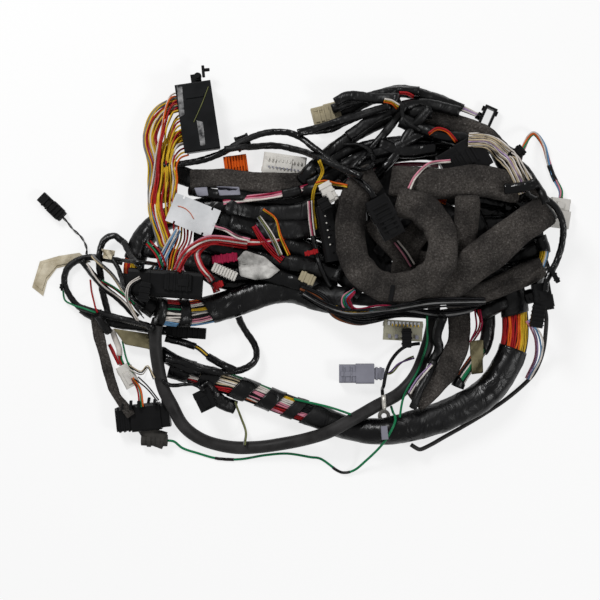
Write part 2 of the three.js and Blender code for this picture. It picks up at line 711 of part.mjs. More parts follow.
place("right_white_socket", cavityPlug(RIGHT_SOCKET), WHITE_PLASTIC, {
  at: [RIGHT_PLUG_AT[0] + mated * Math.cos(facing), RIGHT_PLUG_AT[1] + mated * Math.sin(facing)],
  yaw: RIGHT_YAW,
  ...RIGHT_SOCKET,
  floor: 0,
});

// Trunks

lay("lower_trunk", TAPE, {
  width: LOWER_TRUNK,
  section: roundSection(TRUNK_SIDES),
  taper: [[0, LOWER_TRUNK_THIN_END], [0.4, LOWER_TRUNK_THIN_END], [0.58, 1], [1, 0.9]],
  route: [
    [-163, -83], [-125, -95], [-75, -111], [-25, -130], [25, -148], [56, -160], [100, -165], [150, -156],
    [194, -140], [236, -115], [260, -81], [270, -50], [269, -6], [262, 26],
  ],
});
lay("side_trunk", TAPE, {
  width: SIDE_TRUNK,
  from: { trunk: "lower_trunk", near: [183, -143] },
  route: [[200, -103], [217, -79], [234, -56], [238, -30], [238, 0], [232, 24]],
});
const FLOOR_PLUG = { length: 50, width: 16, height: 15, ribs: 2, latch: 7 };
place("floor_plug", ribbedPlug(FLOOR_PLUG), BLACK_PLASTIC, { at: [-144, -41], yaw: -4, ...FLOOR_PLUG, floor: 0 });
lay("left_floor_bundle", TAPE, {
  width: FLOOR_BUNDLE,
  from: { housing: "floor_plug" },
  route: [[-188, -36], [-213, -33], [-231, -30], [-250, -26], [-263, -20], [-276, -11]],
});
lay("shoulder_trunk", TAPE, {
  width: SHOULDER_TRUNK,
  section: roundSection(TRUNK_SIDES),
  route: [[-76, 122], [-110, 117], [-150, 108], [-178, 97], [-198, 76], [-208, 50], [-209, 26], [-198, 4], [-180, -12]],
});
lay("middle_trunk", TAPE, {
  width: MIDDLE_TRUNK,
  section: roundSection(TRUNK_SIDES),
  route: [[-90, 96], [-60, 88], [-20, 72], [20, 55], [52, 34], [80, 12]],
});
lay("centre_trunk", TAPE, {
  width: CENTRE_TRUNK,
  height: CENTRE_TRUNK_HEIGHT,
  section: roundSection(TRUNK_SIDES),
  route: [[-176, -14], [-150, -17], [-125, -15], [-81, -3], [-44, 10], [-10, 14], [24, 4], [60, -2]],
});
lay("loop_conduit", CONDUIT, {
  width: LOOP_CONDUIT,
  from: { trunk: "centre_trunk", near: [-176, -14] },
  route: [
    [-180, -50], [-176, -88], [-171, -110], [-158, -136], [-147, -158], [-128, -174], [-100, -184],
    [-69, -187], [-25, -182], [25, -169], [63, -150], [100, -131], [125, -118], [144, -98], [155, -75],
    [163, -50], [169, -19], [170, 4],
  ],
});
const TOP_PLUG = { length: 36, width: 30, height: 18, ribs: 4, latch: 10 };
place("top_plug", ribbedPlug(TOP_PLUG), BEIGE_PLASTIC, { at: [34, 232], yaw: 194, ...TOP_PLUG, floor: 0 });
place("clip_frame", clipFrame(CLIP_FRAME), BLACK_PLASTIC, { at: [236, 229], yaw: -24, ...CLIP_FRAME, floor: 0 });
lay("top_trunk", TAPE, {
  width: TOP_TRUNK,
  taper: [[0, 1], [0.72, 1], [0.94, 0.6], [1, 0.6]],
  from: { housing: "top_plug" },
  to: { housing: "clip_frame" },
  route: [[75, 248], [106, 260], [131, 264], [163, 256], [190, 247], [210, 241]],
});

// The left side

lay("left_outer_loop", TAPE, {
  width: LEFT_LOOP,
  from: { end: "left_floor_bundle" },
  to: { trunk: "shoulder_trunk", near: [-209, 45] },
  route: [[-293, 8], [-298, 22], [-294, 40], [-280, 51], [-262, 54], [-240, 51]],
});
lay("left_inner_loop", TAPE, {
  width: LEFT_LOOP,
  from: { trunk: "shoulder_trunk", near: [-206, 58] },
  to: { trunk: "left_floor_bundle", near: [-240, -28] },
  route: [[-224, 74], [-234, 81], [-246, 76], [-252, 62], [-252, 40], [-250, 13], [-246, -6]],
});
lay("left_down_band", FELT, {
  width: LEFT_BAND_WIDTH,
  height: LEFT_BAND_THICKNESS,
  section: flatSection(LEFT_BAND_WIDTH, LEFT_BAND_THICKNESS, 3),
  route: [[-256, -12], [-255, -34], [-252, -54], [-246, -75], [-239, -98], [-230, -118], [-219, -133], [-211, -145]],
});
lay("left_white_lead", WHITE_WIRE, {
  width: WHITE_LEAD,
  from: { trunk: "left_floor_bundle", near: [-240, -28] },
  to: { housing: "left_white_plug" },
  route: [[-234, -50], [-229, -62]],
});
lay("sensor_lead", CONDUIT, {
  width: SENSOR_LEAD,
  from: { housing: "sensor_plug" },
  to: { trunk: "left_outer_loop", near: [-270, 53] },
  sag: LIMP_SAG,
  route: [[-290, 92], [-282, 85], [-275, 77], [-270, 68]],
});
lay("green_lead", GREEN_WIRE, {
  width: GREEN_LEAD,
  from: { housing: "corner_boot" },
  to: { trunk: "loop_conduit", near: [112, -125] },
  sag: LIMP_SAG,
  route: [
    [-150, -187], [-131, -194], [-106, -201], [-75, -202], [-45, -197], [-15, -195], [6, -199], [25, -201],
    [38, -210], [54, -219], [68, -216], [84, -202], [100, -184], [113, -163], [119, -148],
  ],
});
lay("grey_plug_lead", CONDUIT, {
  width: GREY_LEAD_WIDTH,
  height: GREY_LEAD_HEIGHT,
  section: ribbonSection(2, GREY_LEAD_WIDTH, GREY_LEAD_HEIGHT),
  from: { housing: "grey_plug" },
  to: { trunk: "loop_conduit", near: [158, -68] },
  sag: LIMP_SAG,
  route: [[116, -90], [124, -82], [134, -76]],
});
lay("ring_lead", TAPE, {
  width: RING_LEAD,
  from: { housing: "ring_terminal" },
  to: { trunk: "loop_conduit", near: [162, -54] },
  sag: LIMP_SAG,
  route: [[105, -108], [110, -86], [119, -71], [131, -60], [143, -56]],
});
lay("lower_branch_loop", TAPE, {
  width: BRANCH,
  from: { trunk: "centre_trunk", near: [-84, -4] },
  to: { trunk: "loop_conduit", near: [-177, -72] },
  route: [[-72, -34], [-62, -48], [-55, -64], [-57, -77], [-69, -86], [-90, -90], [-119, -88], [-145, -78]],
});
const ROUND_PLUG = { length: 26, width: 24, height: 18, columns: 4, rows: 2, cavity: 3, depth: 9 };
place("round_plug", cavityPlug(ROUND_PLUG), BLACK_PLASTIC, { at: [-118, -124], yaw: -64, ...ROUND_PLUG });

// The junction block's wires and what lies over the left half

lay("fan_wires_inner", YELLOW_WIRE, {
  width: FAN_WIRES * WIRE,
  height: FAN_HEIGHT,
  section: ribbonSection(FAN_WIRES, FAN_WIRES * WIRE, FAN_HEIGHT),
  from: { housing: "junction_block", side: -22 },
  route: [[-166, 192], [-169, 168], [-167, 145], [-163, 124]],
});
lay("fan_wires_outer", YELLOW_WIRE, {
  width: FAN_WIRES * WIRE,
  height: FAN_HEIGHT,
  section: ribbonSection(FAN_WIRES, FAN_WIRES * WIRE, FAN_HEIGHT),
  from: { housing: "junction_block", side: 20 },
  route: [[-178, 234], [-190, 204], [-181, 170], [-183, 140], [-180, 112], [-172, 84], [-164, 60]],
});
place("wire_shroud", wireShroud(SHROUD), BLACK_PLASTIC, { at: [-166, 20], yaw: -4, ...SHROUD });
lay("red_wires", YELLOW_WIRE, {
  width: RED_WIRES * WIRE,
  height: WIRE,
  section: ribbonSection(RED_WIRES, RED_WIRES * WIRE, WIRE),
  from: { trunk: "centre_trunk", near: [-98, -8] },
  route: [[-110, 24], [-122, 42], [-126, 58], [-114, 70], [-94, 75], [-74, 74], [-52, 72], [-26, 77], [-4, 88]],
});
const ORANGE = { length: 29, width: 24, height: 20, columns: 5, rows: 3, cavity: 2.8, depth: 10 };
place("orange_plug", cavityPlug(ORANGE), ORANGE_PLASTIC, { at: [-81, 171], yaw: 8, ...ORANGE });
place("ribbed_cap", ribbedCap(CAP), BLACK_PLASTIC, {
  at: [-72, 199], yaw: 20, length: CAP.length, width: 2 * CAP.radius, height: 2 * CAP.radius, floor: 0,
});
const WHITE_WIDE = { length: 27, width: 56, height: 16, columns: 9, rows: 2, cavity: 3.2, depth: 11 };
place("white_wide_plug", cavityPlug(WHITE_WIDE), WHITE_PLASTIC, { at: [-20, 170], yaw: 82, ...WHITE_WIDE });
lay("felt_strap", FELT, {
  width: FELT_STRAP_WIDTH,
  height: FELT_STRAP_THICKNESS,
  section: flatSection(FELT_STRAP_WIDTH, FELT_STRAP_THICKNESS, 3),
  route: [[-138, 153], [-94, 153], [-48, 147], [0, 149], [46, 153], [76, 152]],
});
lay("pink_wires", WHITE_WIRE, {
  width: PINK_WIRES * WIRE,
  height: WIRE,
  section: ribbonSection(PINK_WIRES, PINK_WIRES * WIRE, WIRE),
  route: [[-96, 123], [-81, 125], [-45, 130], [-15, 134], [16, 143], [44, 152], [70, 160], [100, 168], [150, 171], [176, 171]],
});
place("label_plate", labelPlate(PLATE), WHITE_PLASTIC, { at: [-133, 105], yaw: -22, ...PLATE });
place("long_plug", longPlug(LONG_PLUG), BLACK_PLASTIC, { at: [38, 83], yaw: -80, ...LONG_PLUG });

// The right half: felt sleeves over each other

lay("felt_back", FELT, {
  width: FELT_BACK_WIDTH,
  height: FELT_THICKNESS,
  section: flatSection(FELT_BACK_WIDTH, FELT_THICKNESS, 3),
  route: [[140, 236], [175, 228], [219, 213], [254, 188], [280, 152], [302, 122]],
});
const UPPER_BLOCK = { length: 58, width: 44, height: 22, ribs: 5, latch: 14 };
place("upper_block", ribbedPlug(UPPER_BLOCK), BLACK_PLASTIC, { at: [204, 174], yaw: -150, ...UPPER_BLOCK });
lay("beige_wires", WHITE_WIRE, {
  width: BEIGE_WIRES * WIRE,
  height: BEIGE_HEIGHT,
  section: ribbonSection(BEIGE_WIRES, BEIGE_WIRES * WIRE, BEIGE_HEIGHT),
  from: { housing: "upper_block" },
  route: [[248, 194], [259, 182], [262, 164], [265, 146], [274, 128]],
});
lay("top_cable", TAPE, {
  width: TOP_CABLE,
  route: [[-3, 211], [38, 214], [63, 226], [88, 236], [113, 242], [128, 246]],
});
lay("felt_middle", FELT, {
  width: FELT_MIDDLE_WIDTH,
  height: FELT_THICKNESS,
  section: flatSection(FELT_MIDDLE_WIDTH, FELT_THICKNESS, 3),
  route: [[112, 148], [140, 144], [175, 143], [225, 146], [272, 138]],
});
lay("felt_side", FELT, {
  width: FELT_SIDE_WIDTH,
  height: FELT_THICKNESS,
  section: flatSection(FELT_SIDE_WIDTH, FELT_THICKNESS, 3),
  route: [[204, 126], [203, 88], [198, 48], [194, 30]],
});
lay("felt_tail", FELT, {
  width: FELT_TAIL_WIDTH,
  height: FELT_TAIL_THICKNESS,
  section: flatSection(FELT_TAIL_WIDTH, FELT_TAIL_THICKNESS, 3),
  route: [[200, 6], [201, -30], [197, -62], [181, -94], [160, -114], [143, -128]],
});
lay("lower_rope", TAPE, {
  width: LOWER_ROPE,
  route: [[0, 13], [28, 2], [46, -18], [75, -26], [100, -21], [125, -16], [175, -18], [213, -10], [232, 0]],
});
lay("felt_lower", FELT, {
  width: FELT_LOWER_WIDTH,
  height: FELT_THICKNESS,
  section: flatSection(FELT_LOWER_WIDTH, FELT_THICKNESS, 3),
  route: [[180, 4], [210, 6], [238, 13], [272, 28], [302, 42]],
});
lay("felt_main", FELT, {
  width: FELT_MAIN_WIDTH,
  height: FELT_THICKNESS,
  section: flatSection(FELT_MAIN_WIDTH, FELT_THICKNESS, 3),
  route: [[118, 8], [150, 10], [182, 22], [225, 53], [268, 88], [306, 112]],
});
lay("felt_coil", FELT, {
  width: FELT_COIL_WIDTH,
  height: FELT_THICKNESS,
  section: flatSection(FELT_COIL_WIDTH, FELT_THICKNESS, 3),
  route: [[94, 152], [76, 140], [64, 115], [61, 78], [70, 42], [94, 20], [125, 16], [156, 28], [172, 56], [170, 88], [148, 112], [118, 122]],
});
const CLEAR = { length: 25, width: 50, height: 14, columns: 10, rows: 1, cavity: 3, depth: 10 };
place("clear_plug", cavityPlug(CLEAR), WHITE_PLASTIC, { at: [128, -38], yaw: -93, ...CLEAR });
const CENTRE_PLUG = { length: 52, width: 30, height: 21, ribs: 3, latch: 10 };
place("centre_plug", ribbedPlug(CENTRE_PLUG), BLACK_PLASTIC, { at: [103, 100], yaw: -62, ...CENTRE_PLUG });
lay("arch_cable", TAPE, {
  width: ARCH_CABLE,
  to: { housing: "centre_plug" },
  route: [
    [-171, 168], [-138, 173], [-106, 181], [-75, 197], [-50, 208], [-25, 211], [-6, 207], [10, 195],
    [31, 179], [52, 162], [70, 148],
  ],
});

// The right edge

const EDGE_CLIP = { length: 34, width: 24, height: 14, ribs: 2, latch: 8 };
place("edge_clip", ribbedPlug(EDGE_CLIP), BLACK_PLASTIC, { at: [300, 4], yaw: 100, ...EDGE_CLIP });
lay("edge_bundle", TAPE, {
  width: EDGE_BUNDLE,
  route: [[298, 126], [314, 112], [323, 84], [319, 56], [310, 38], [303, 24], [301, 10]],
});
lay("right_plug_lead", WHITE_WIRE, {
  width: PLUG_LEAD,
  from: { housing: "right_white_plug" },
  to: { trunk: "felt_middle", near: [262, 140] },
  sag: LIMP_SAG,
  route: [[318, 164], [308, 196], [294, 210], [280, 192], [270, 170]],
});
lay("right_lead", CONDUIT, {
  width: RIGHT_LEAD,
  from: { housing: "edge_clip" },
  to: { trunk: "lower_trunk", near: [110, -165] },
  sag: LIMP_SAG,
  route: [
    [306, -34], [307, -56], [303, -78], [295, -95], [276, -114], [250, -134], [219, -153], [186, -172],
    [150, -188],
  ],
});

// The origin is in the middle of the heap's outline, on the surface; free leads and what is on them don't
// count.
const FREE_LEADS = [
  "sensor_lead", "sensor_plug", "green_lead", "grey_plug_lead", "grey_plug", "ring_lead", "ring_terminal",
  "right_plug_lead", "right_white_plug", "right_white_socket", "right_lead",
];
const outline = new THREE.Box3();
harness.updateMatrixWorld(true);
for (const mesh of harness.children)
  if (!FREE_LEADS.includes(mesh.name)) outline.expandByObject(mesh);
const middle = outline.getCenter(new THREE.Vector3()).setZ(0);
for (const mesh of harness.children) mesh.position.sub(middle);

export default harness;
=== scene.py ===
# A dashboard wiring harness lying in a heap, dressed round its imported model. Metres, +Z up.
import math
import random

import bpy
import numpy as np
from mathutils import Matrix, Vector, noise
from mathutils.bvhtree import BVHTree


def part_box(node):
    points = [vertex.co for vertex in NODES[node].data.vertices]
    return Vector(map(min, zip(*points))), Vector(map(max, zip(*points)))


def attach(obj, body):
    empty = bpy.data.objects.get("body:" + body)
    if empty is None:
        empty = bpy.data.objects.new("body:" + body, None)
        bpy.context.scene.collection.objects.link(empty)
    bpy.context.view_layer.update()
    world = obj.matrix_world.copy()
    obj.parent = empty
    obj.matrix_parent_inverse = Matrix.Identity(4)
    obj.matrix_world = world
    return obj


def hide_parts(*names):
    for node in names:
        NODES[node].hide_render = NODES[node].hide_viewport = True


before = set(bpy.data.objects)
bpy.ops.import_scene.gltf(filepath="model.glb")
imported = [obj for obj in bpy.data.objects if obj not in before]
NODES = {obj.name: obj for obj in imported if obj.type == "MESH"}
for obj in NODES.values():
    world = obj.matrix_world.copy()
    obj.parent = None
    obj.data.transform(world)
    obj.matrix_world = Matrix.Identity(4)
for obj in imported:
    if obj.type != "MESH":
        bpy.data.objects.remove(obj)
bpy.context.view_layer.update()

MM = 0.001
dice = random.Random(11)


def centre(node):
    low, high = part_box(node)
    return (Vector(low) + Vector(high)) / 2


# The layout's own middle, in the part's frame: the grey plug lies at this place in the layout.
GREY_PLUG_AT = (78, -93)
layout = centre("grey_plug") - Vector((GREY_PLUG_AT[0] * MM, GREY_PLUG_AT[1] * MM, 0))


def spot(x, y):
    """A place in the layout, in millimetres, as a point of the frame."""
    return np.array([layout.x + x * MM, layout.y + y * MM, 0.0])


# Camera, straight above the heap as in the photograph

VIEW_WIDTH = 0.75       # of the surface
CAMERA_HEIGHT = 1.9
MID_HEIGHT = 0.03       # of the heap
SENSOR_WIDTH = 36
FAR_CLIP = 20

camera = bpy.data.objects.new("camera", bpy.data.cameras.new("camera"))
camera.location = (layout.x, layout.y, CAMERA_HEIGHT)
camera.data.sensor_width = SENSOR_WIDTH
camera.data.sensor_fit = "HORIZONTAL"
camera.data.lens = SENSOR_WIDTH * (CAMERA_HEIGHT - MID_HEIGHT) / VIEW_WIDTH
camera.data.clip_end = FAR_CLIP
bpy.context.scene.collection.objects.link(camera)
bpy.context.scene.camera = camera


# Materials

PLAIN_SHINE = 0.14
TAPE_SHINE = 0.3
FELT_SHINE = 0.15
NOISE_LOW, NOISE_HIGH = 0.3, 0.7    # most of a noise lies between them


def linear(red, green, blue):
    """A colour as it looks, 0 to 255, in linear light."""
    def one(value):
        value /= 255
        return value / 12.92 if value <= 0.04045 else ((value + 0.055) / 1.055) ** 2.4
    return (one(red), one(green), one(blue), 1.0)


def shaded(colour, share):
    return tuple([channel * share for channel in colour[:3]] + [1.0])


def new_material(name):
    material = bpy.data.materials.new(name)
    material.use_nodes = True
    return material, material.node_tree, material.node_tree.nodes["Principled BSDF"]


def add_node(tree, kind, **values):
    """A node, with values for its inputs or its settings."""
    node = tree.nodes.new(kind)
    for key, value in values.items():
        if key in node.inputs:
            node.inputs[key].default_value = value
        else:
            setattr(node, key, value)
    return node


def noise_of(tree, scale, detail, stretch=(1.0, 1.0, 1.0), **values):
    """Noise over the object's own coordinates, finer or coarser along each axis if stretched."""
    where = tree.nodes.new("ShaderNodeTexCoord")
    mapping = add_node(tree, "ShaderNodeMapping", Scale=stretch)
    texture = add_node(tree, "ShaderNodeTexNoise", Scale=scale, Detail=detail, **values)
    tree.links.new(where.outputs["Object"], mapping.inputs["Vector"])
    tree.links.new(mapping.outputs["Vector"], texture.inputs["Vector"])
    return texture.outputs["Fac"]


def ramp(tree, source, stops):
    """Colours over a value: stops are (place, colour)."""
    node = tree.nodes.new("ShaderNodeValToRGB")
    elements = node.color_ramp.elements
    while len(elements) < len(stops):
        elements.new(0.5)
    for element, (place, colour) in zip(elements, stops):
        element.position = place
        element.color = colour
    tree.links.new(source, node.inputs["Fac"])
    return node.outputs["Color"]


def vary_gloss(tree, shader, source, low, high):
    """Roughness between low and high that follows a noise."""
    ends = {"From Min": NOISE_LOW, "From Max": NOISE_HIGH, "To Min": low, "To Max": high}
    node = add_node(tree, "ShaderNodeMapRange", **ends)
    tree.links.new(source, node.inputs["Value"])
    tree.links.new(node.outputs["Result"], shader.inputs["Roughness"])


def bump(tree, shader, source, strength, depth):
    node = add_node(tree, "ShaderNodeBump", Strength=strength, Distance=depth)
    tree.links.new(source, node.inputs["Height"])
    tree.links.new(node.outputs["Normal"], shader.inputs["Normal"])


def varied(name, dark, light, rough, scale=60, grain=900, depth=0.0002, strength=0.3, metal=0.0):
    """A surface of two near colours, with its own grain and an uneven gloss."""
    material, tree, shader = new_material(name)
    cloud = noise_of(tree, scale, 4.0)
    colours = ramp(tree, cloud, [(NOISE_LOW, dark), (NOISE_HIGH, light)])
    tree.links.new(colours, shader.inputs["Base Color"])
    vary_gloss(tree, shader, cloud, rough - 0.08, rough + 0.1)
    bump(tree, shader, noise_of(tree, grain, 2.0), strength, depth)
    shader.inputs["Metallic"].default_value = metal
    shader.inputs["Specular IOR Level"].default_value = PLAIN_SHINE
    return material


def plastic(name, colour, rough=0.45):
    return varied(name, shaded(colour, 0.82), colour, rough, scale=45, grain=1500, depth=0.0001)


def wire_material(name, colour):
    return varied(name, shaded(colour, 0.72), colour, 0.36, scale=90, grain=500, strength=0.2)


def tape_material():
    """Glossy black tape, wrinkled along its wraps and a little dusty."""
    material, tree, shader = new_material("tape")
    dust = [(0.35, linear(3, 3, 4)), (0.62, linear(7, 7, 8)), (0.85, linear(20, 20, 22))]
    colours = ramp(tree, noise_of(tree, 28, 5.0), dust)
    tree.links.new(colours, shader.inputs["Base Color"])
    vary_gloss(tree, shader, noise_of(tree, 17, 3.0), 0.13, 0.6)
    shader.inputs["Specular IOR Level"].default_value = TAPE_SHINE
    bump(tree, shader, noise_of(tree, 60, 3.0, (1.0, 0.6, 1.0), Distortion=1.0), 0.7, 0.0034)
    return material


def felt_material():
    """Grey needled felt: dark and pale fibres in patches, and no gloss."""
    material, tree, shader = new_material("felt")
    fibre = noise_of(tree, 420, 7.0, Roughness=0.8)
    flecks = [
        (0.3, linear(40, 37, 35)), (0.46, linear(63, 59, 56)), (0.6, linear(90, 86, 82)),
        (0.72, linear(170, 167, 163)),
    ]
    patches = noise_of(tree, 26, 6.0)
    shade = ramp(tree, patches, [(0.34, (0.36, 0.36, 0.37, 1)), (0.64, (1.0, 1.0, 1.0, 1))])
    mix = add_node(tree, "ShaderNodeMix", data_type="RGBA", blend_type="MULTIPLY")
    mix.inputs["Factor"].default_value = 1.0
    tree.links.new(ramp(tree, fibre, flecks), mix.inputs["A"])
    tree.links.new(shade, mix.inputs["B"])
    tree.links.new(mix.outputs["Result"], shader.inputs["Base Color"])
    vary_gloss(tree, shader, patches, 0.88, 1.0)
    shader.inputs["Specular IOR Level"].default_value = FELT_SHINE
    bump(tree, shader, fibre, 1.0, 0.0022)
    return material


TAPE = tape_material()
FELT = felt_material()
CONDUIT = varied("conduit", linear(34, 33, 33), linear(54, 53, 53), 0.5, scale=50, grain=700)
CORE = varied("core", linear(12, 12, 13), linear(20, 20, 21), 0.6)
BLACK = plastic("black_plastic", linear(17, 17, 18), 0.4)
COVER = varied("dark_cover", linear(9, 10, 11), linear(17, 18, 20), 0.42, scale=30)
WHITE = plastic("white_plastic", linear(212, 209, 203), 0.42)
CLEAR = plastic("clear_plastic", linear(158, 155, 136), 0.25)
BEIGE = plastic("beige_plastic", linear(164, 154, 128), 0.5)
GREY = plastic("grey_plastic", linear(134, 134, 145), 0.5)
ORANGE = plastic("orange_plastic", linear(214, 88, 14), 0.42)
RUBBER = varied("rubber", linear(46, 45, 43), linear(64, 62, 59), 0.8, scale=80)
TIN = varied("tin", linear(176, 172, 164), linear(232, 229, 222), 0.34, scale=120, metal=0.3)
CRUMPLED = {"scale": 55, "depth": 0.0012, "strength": 0.7}
MASKING = varied("masking_tape", linear(150, 138, 112), linear(208, 199, 178), 0.75, grain=260, **CRUMPLED)
PAPER = varied("paper", linear(112, 111, 108), linear(216, 214, 210), 0.7, grain=160, **CRUMPLED)
OLIVE = varied("olive_tape", linear(96, 90, 66), linear(132, 124, 96), 0.65, scale=70)
# Pale grey streaks painted on the dark junction block as painted highlights, not as a colour of the block.
PAINTED_HIGHLIGHT = varied("painted_highlight", linear(30, 31, 33), linear(150, 150, 150), 0.7, scale=160)
CARD = varied("card", linear(188, 190, 192), linear(220, 221, 223), 0.5, scale=32, grain=600)

WIRES = {
    name: wire_material("wire_" + name, linear(*colour))
    for name, colour in {
        "yellow": (204, 166, 40), "white": (212, 205, 198), "red": (158, 28, 32), "green": (28, 122, 78),
        "pink": (206, 132, 150), "orange": (206, 92, 26), "blue": (104, 150, 190), "black": (19, 19, 21),
        "grey": (122, 122, 122), "beige": (194, 178, 148), "maroon": (150, 28, 62), "lilac": (176, 150, 190),
        "brown": (110, 62, 36), "violet": (96, 66, 120), "olive": (112, 116, 70),
    }.items()
}

PAINT = (
    (BLACK, "sensor_plug corner_block floor_plug clip_frame round_plug wire_shroud ribbed_cap long_plug "
            "upper_block centre_plug edge_clip"),
    (WHITE, "left_white_plug right_white_plug right_white_socket white_wide_plug"),
    (GREY, "grey_plug"), (RUBBER, "corner_boot"), (COVER, "junction_block"), (BEIGE, "top_plug"),
    (ORANGE, "orange_plug"), (CLEAR, "clear_plug"), (TIN, "ring_terminal"), (CARD, "label_plate"),
    (MASKING, "lower_left_tape_flag"),
)
SLOT_OF = {
    BLACK: "black_plastic", BEIGE: "beige_plastic", GREY: "grey_plastic", ORANGE: "orange_plastic",
    WHITE: "white_plastic", CARD: "white_plastic", PAPER: "white_plastic", MASKING: "masking_tape",
    OLIVE: "masking_tape", PAINTED_HIGHLIGHT: "dark_cover",
}


# Routes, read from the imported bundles

MICRONS = 1e6           # corners this close together are one
FLAT = 0.01 * MM        # how far a corner may lie off a plane
FEWEST_SIDES = 8        # of a bundle's section
SPLINE_STEPS = 12       # points between two knots of a route


def merged(node):
    """The distinct corners of a node and its faces over them."""
    numbers, order = {}, []
    for vertex in NODES[node].data.vertices:
        key = tuple(round(c * MICRONS) for c in vertex.co)
        order.append(numbers.setdefault(key, len(numbers)))
    faces = [[order[i] for i in polygon.vertices] for polygon in NODES[node].data.polygons]
    return np.array(list(numbers)) / MICRONS, faces


def flat_groups(points, faces):
    """Sets of corners of neighbouring faces that lie in one plane."""
    beside, edges = [[] for _ in faces], {}
    for number, face in enumerate(faces):
        for edge in zip(face, face[1:] + face[:1]):
            edges.setdefault(frozenset(edge), []).append(number)
    for pair in edges.values():
        if len(pair) == 2:
            beside[pair[0]].append(pair[1])
            beside[pair[1]].append(pair[0])
    seen = set()
    for number, face in enumerate(faces):
        if number in seen:
            continue
        a, b, c = points[face[:3]]
        normal = np.cross(b - a, c - a)
        normal /= max(np.linalg.norm(normal), 1e-15)
        group, queue = [], [number]
        seen.add(number)
        while queue:
            one = queue.pop()
            group.append(one)
            for other in beside[one]:
                if other not in seen and np.abs((points[faces[other]] - a) @ normal).max() < FLAT:
                    seen.add(other)
                    queue.append(other)
        yield {corner for one in group for corner in faces[one]}


def rings_of(node):
    """The sections of a bundle, each a list of corners, from one end to the other."""
    points, faces = merged(node)
    links = [set() for _ in points]
    for face in faces:
        for a, b in zip(face, face[1:] + face[:1]):
            links[a].add(b)
            links[b].add(a)
    for cap in flat_groups(points, faces):
        layers, seen = [cap], set(cap)
        while layers[-1]:
            layers.append({b for a in layers[-1] for b in links[a]} - seen)
            seen |= layers[-1]
        layers.pop()
        if len(cap) >= FEWEST_SIDES and all(len(layer) == len(cap) for layer in layers):
            return [points[sorted(layer)] for layer in layers]
    raise ValueError(node + ": its sections weren't found")


def unit(vectors):
    return vectors / np.maximum(np.linalg.norm(vectors, axis=-1, keepdims=True), 1e-12)


class Route:
    """A smooth line with, at each point, its sideways and upward directions and half sizes."""

    def __init__(self, knots, half_width, half_height, step):
        knots = np.array(knots, float)
        dense, share = [], []
        padded = np.vstack([2 * knots[0] - knots[1], knots, 2 * knots[-1] - knots[-2]])
        for k in range(len(knots) - 1):
            p0, p1, p2, p3 = padded[k:k + 4]
            d1, d2, d3 = (max(np.linalg.norm(b - a) ** 0.5, 1e-6) for a, b in ((p0, p1), (p1, p2), (p2, p3)))
            m1 = ((p1 - p0) / d1 - (p2 - p0) / (d1 + d2) + (p2 - p1) / d2) * d2
            m2 = ((p3 - p2) / d3 - (p3 - p1) / (d2 + d3) + (p2 - p1) / d2) * d2
            for t in np.linspace(0, 1, SPLINE_STEPS, endpoint=False):
                a, b, c = 2 * t ** 3 - 3 * t ** 2 + 1, t ** 3 - 2 * t ** 2 + t, t ** 3 - t ** 2
                dense.append(a * p1 + b * m1 + (1 - a) * p2 + c * m2)
                share.append(k + t)
        dense.append(knots[-1])
        share.append(len(knots) - 1.0)
        dense = np.array(dense)
        far = np.concatenate([[0], np.cumsum(np.linalg.norm(np.diff(dense, axis=0), axis=1))])
        self.length = far[-1]
        count = max(2, int(round(self.length / step)) + 1)
        self.s = np.linspace(0, self.length, count)
        self.p = np.stack([np.interp(self.s, far, dense[:, i]) for i in range(3)], axis=1)
        at = np.interp(self.s, far, share)
        number = np.arange(len(knots))
        self.w = np.interp(at, number, np.broadcast_to(half_width, len(knots)))
        self.h = np.interp(at, number, np.broadcast_to(half_height, len(knots)))
        self.whole = self
        self.set_frames()

    def set_frames(self):
        self.t = unit(np.gradient(self.p, axis=0))
        self.side = unit(np.cross([0, 0, 1.0], self.t))
        self.up = np.cross(self.t, self.side)

    def turned(self):
        """The same line from its other end."""
        for name in ("p", "w", "h"):
            setattr(self, name, getattr(self, name)[::-1].copy())
        self.set_frames()
        return self

    def at(self, s):
        """Points, directions and half sizes at any distances along the whole line."""
        whole = self.whole
        vectors = []
        for values in (whole.p, whole.side, whole.up):
            vectors.append(np.stack([np.interp(s, whole.s, values[:, i]) for i in range(3)], axis=-1))
        return (*vectors, np.interp(s, self.s, self.w), np.interp(s, self.s, self.h))

    def part(self, first, last):
        """A stretch of it, between two shares of its length."""
        piece = Route.__new__(Route)
        piece.whole = self.whole
        chosen = (self.s >= first * self.length - 1e-9) & (self.s <= last * self.length + 1e-9)
        for name in ("p", "w", "h", "t", "side", "up", "s"):
            setattr(piece, name, getattr(self, name)[chosen].copy())
        piece.length = piece.s[-1] - piece.s[0]
        return piece

    def beside(self, across, above):
        """The points at these distances to the side and above."""
        across, above = np.broadcast_to(across, self.s.shape), np.broadcast_to(above, self.s.shape)
        return self.p + self.side * across[:, None] + self.up * above[:, None]


def route_of(node, first, step=2.5 * MM):
    """A bundle's line. first is a place in the layout near the end that it starts from."""
    sections = rings_of(node)
    knots = np.array([ring.mean(axis=0) for ring in sections])
    tangents = unit(np.gradient(knots, axis=0))
    side = unit(np.cross([0, 0, 1.0], tangents))
    wide, high = (
        [np.abs((ring - knot) @ d).max() for ring, knot, d in zip(sections, knots, directions)]
        for directions in (side, np.cross(tangents, side))
    )
    route = Route(knots, wide, high, step)
    start = spot(*first)[:2]
    if np.linalg.norm(route.p[0, :2] - start) > np.linalg.norm(route.p[-1, :2] - start):
        route.turned()
    return route


# Tubes

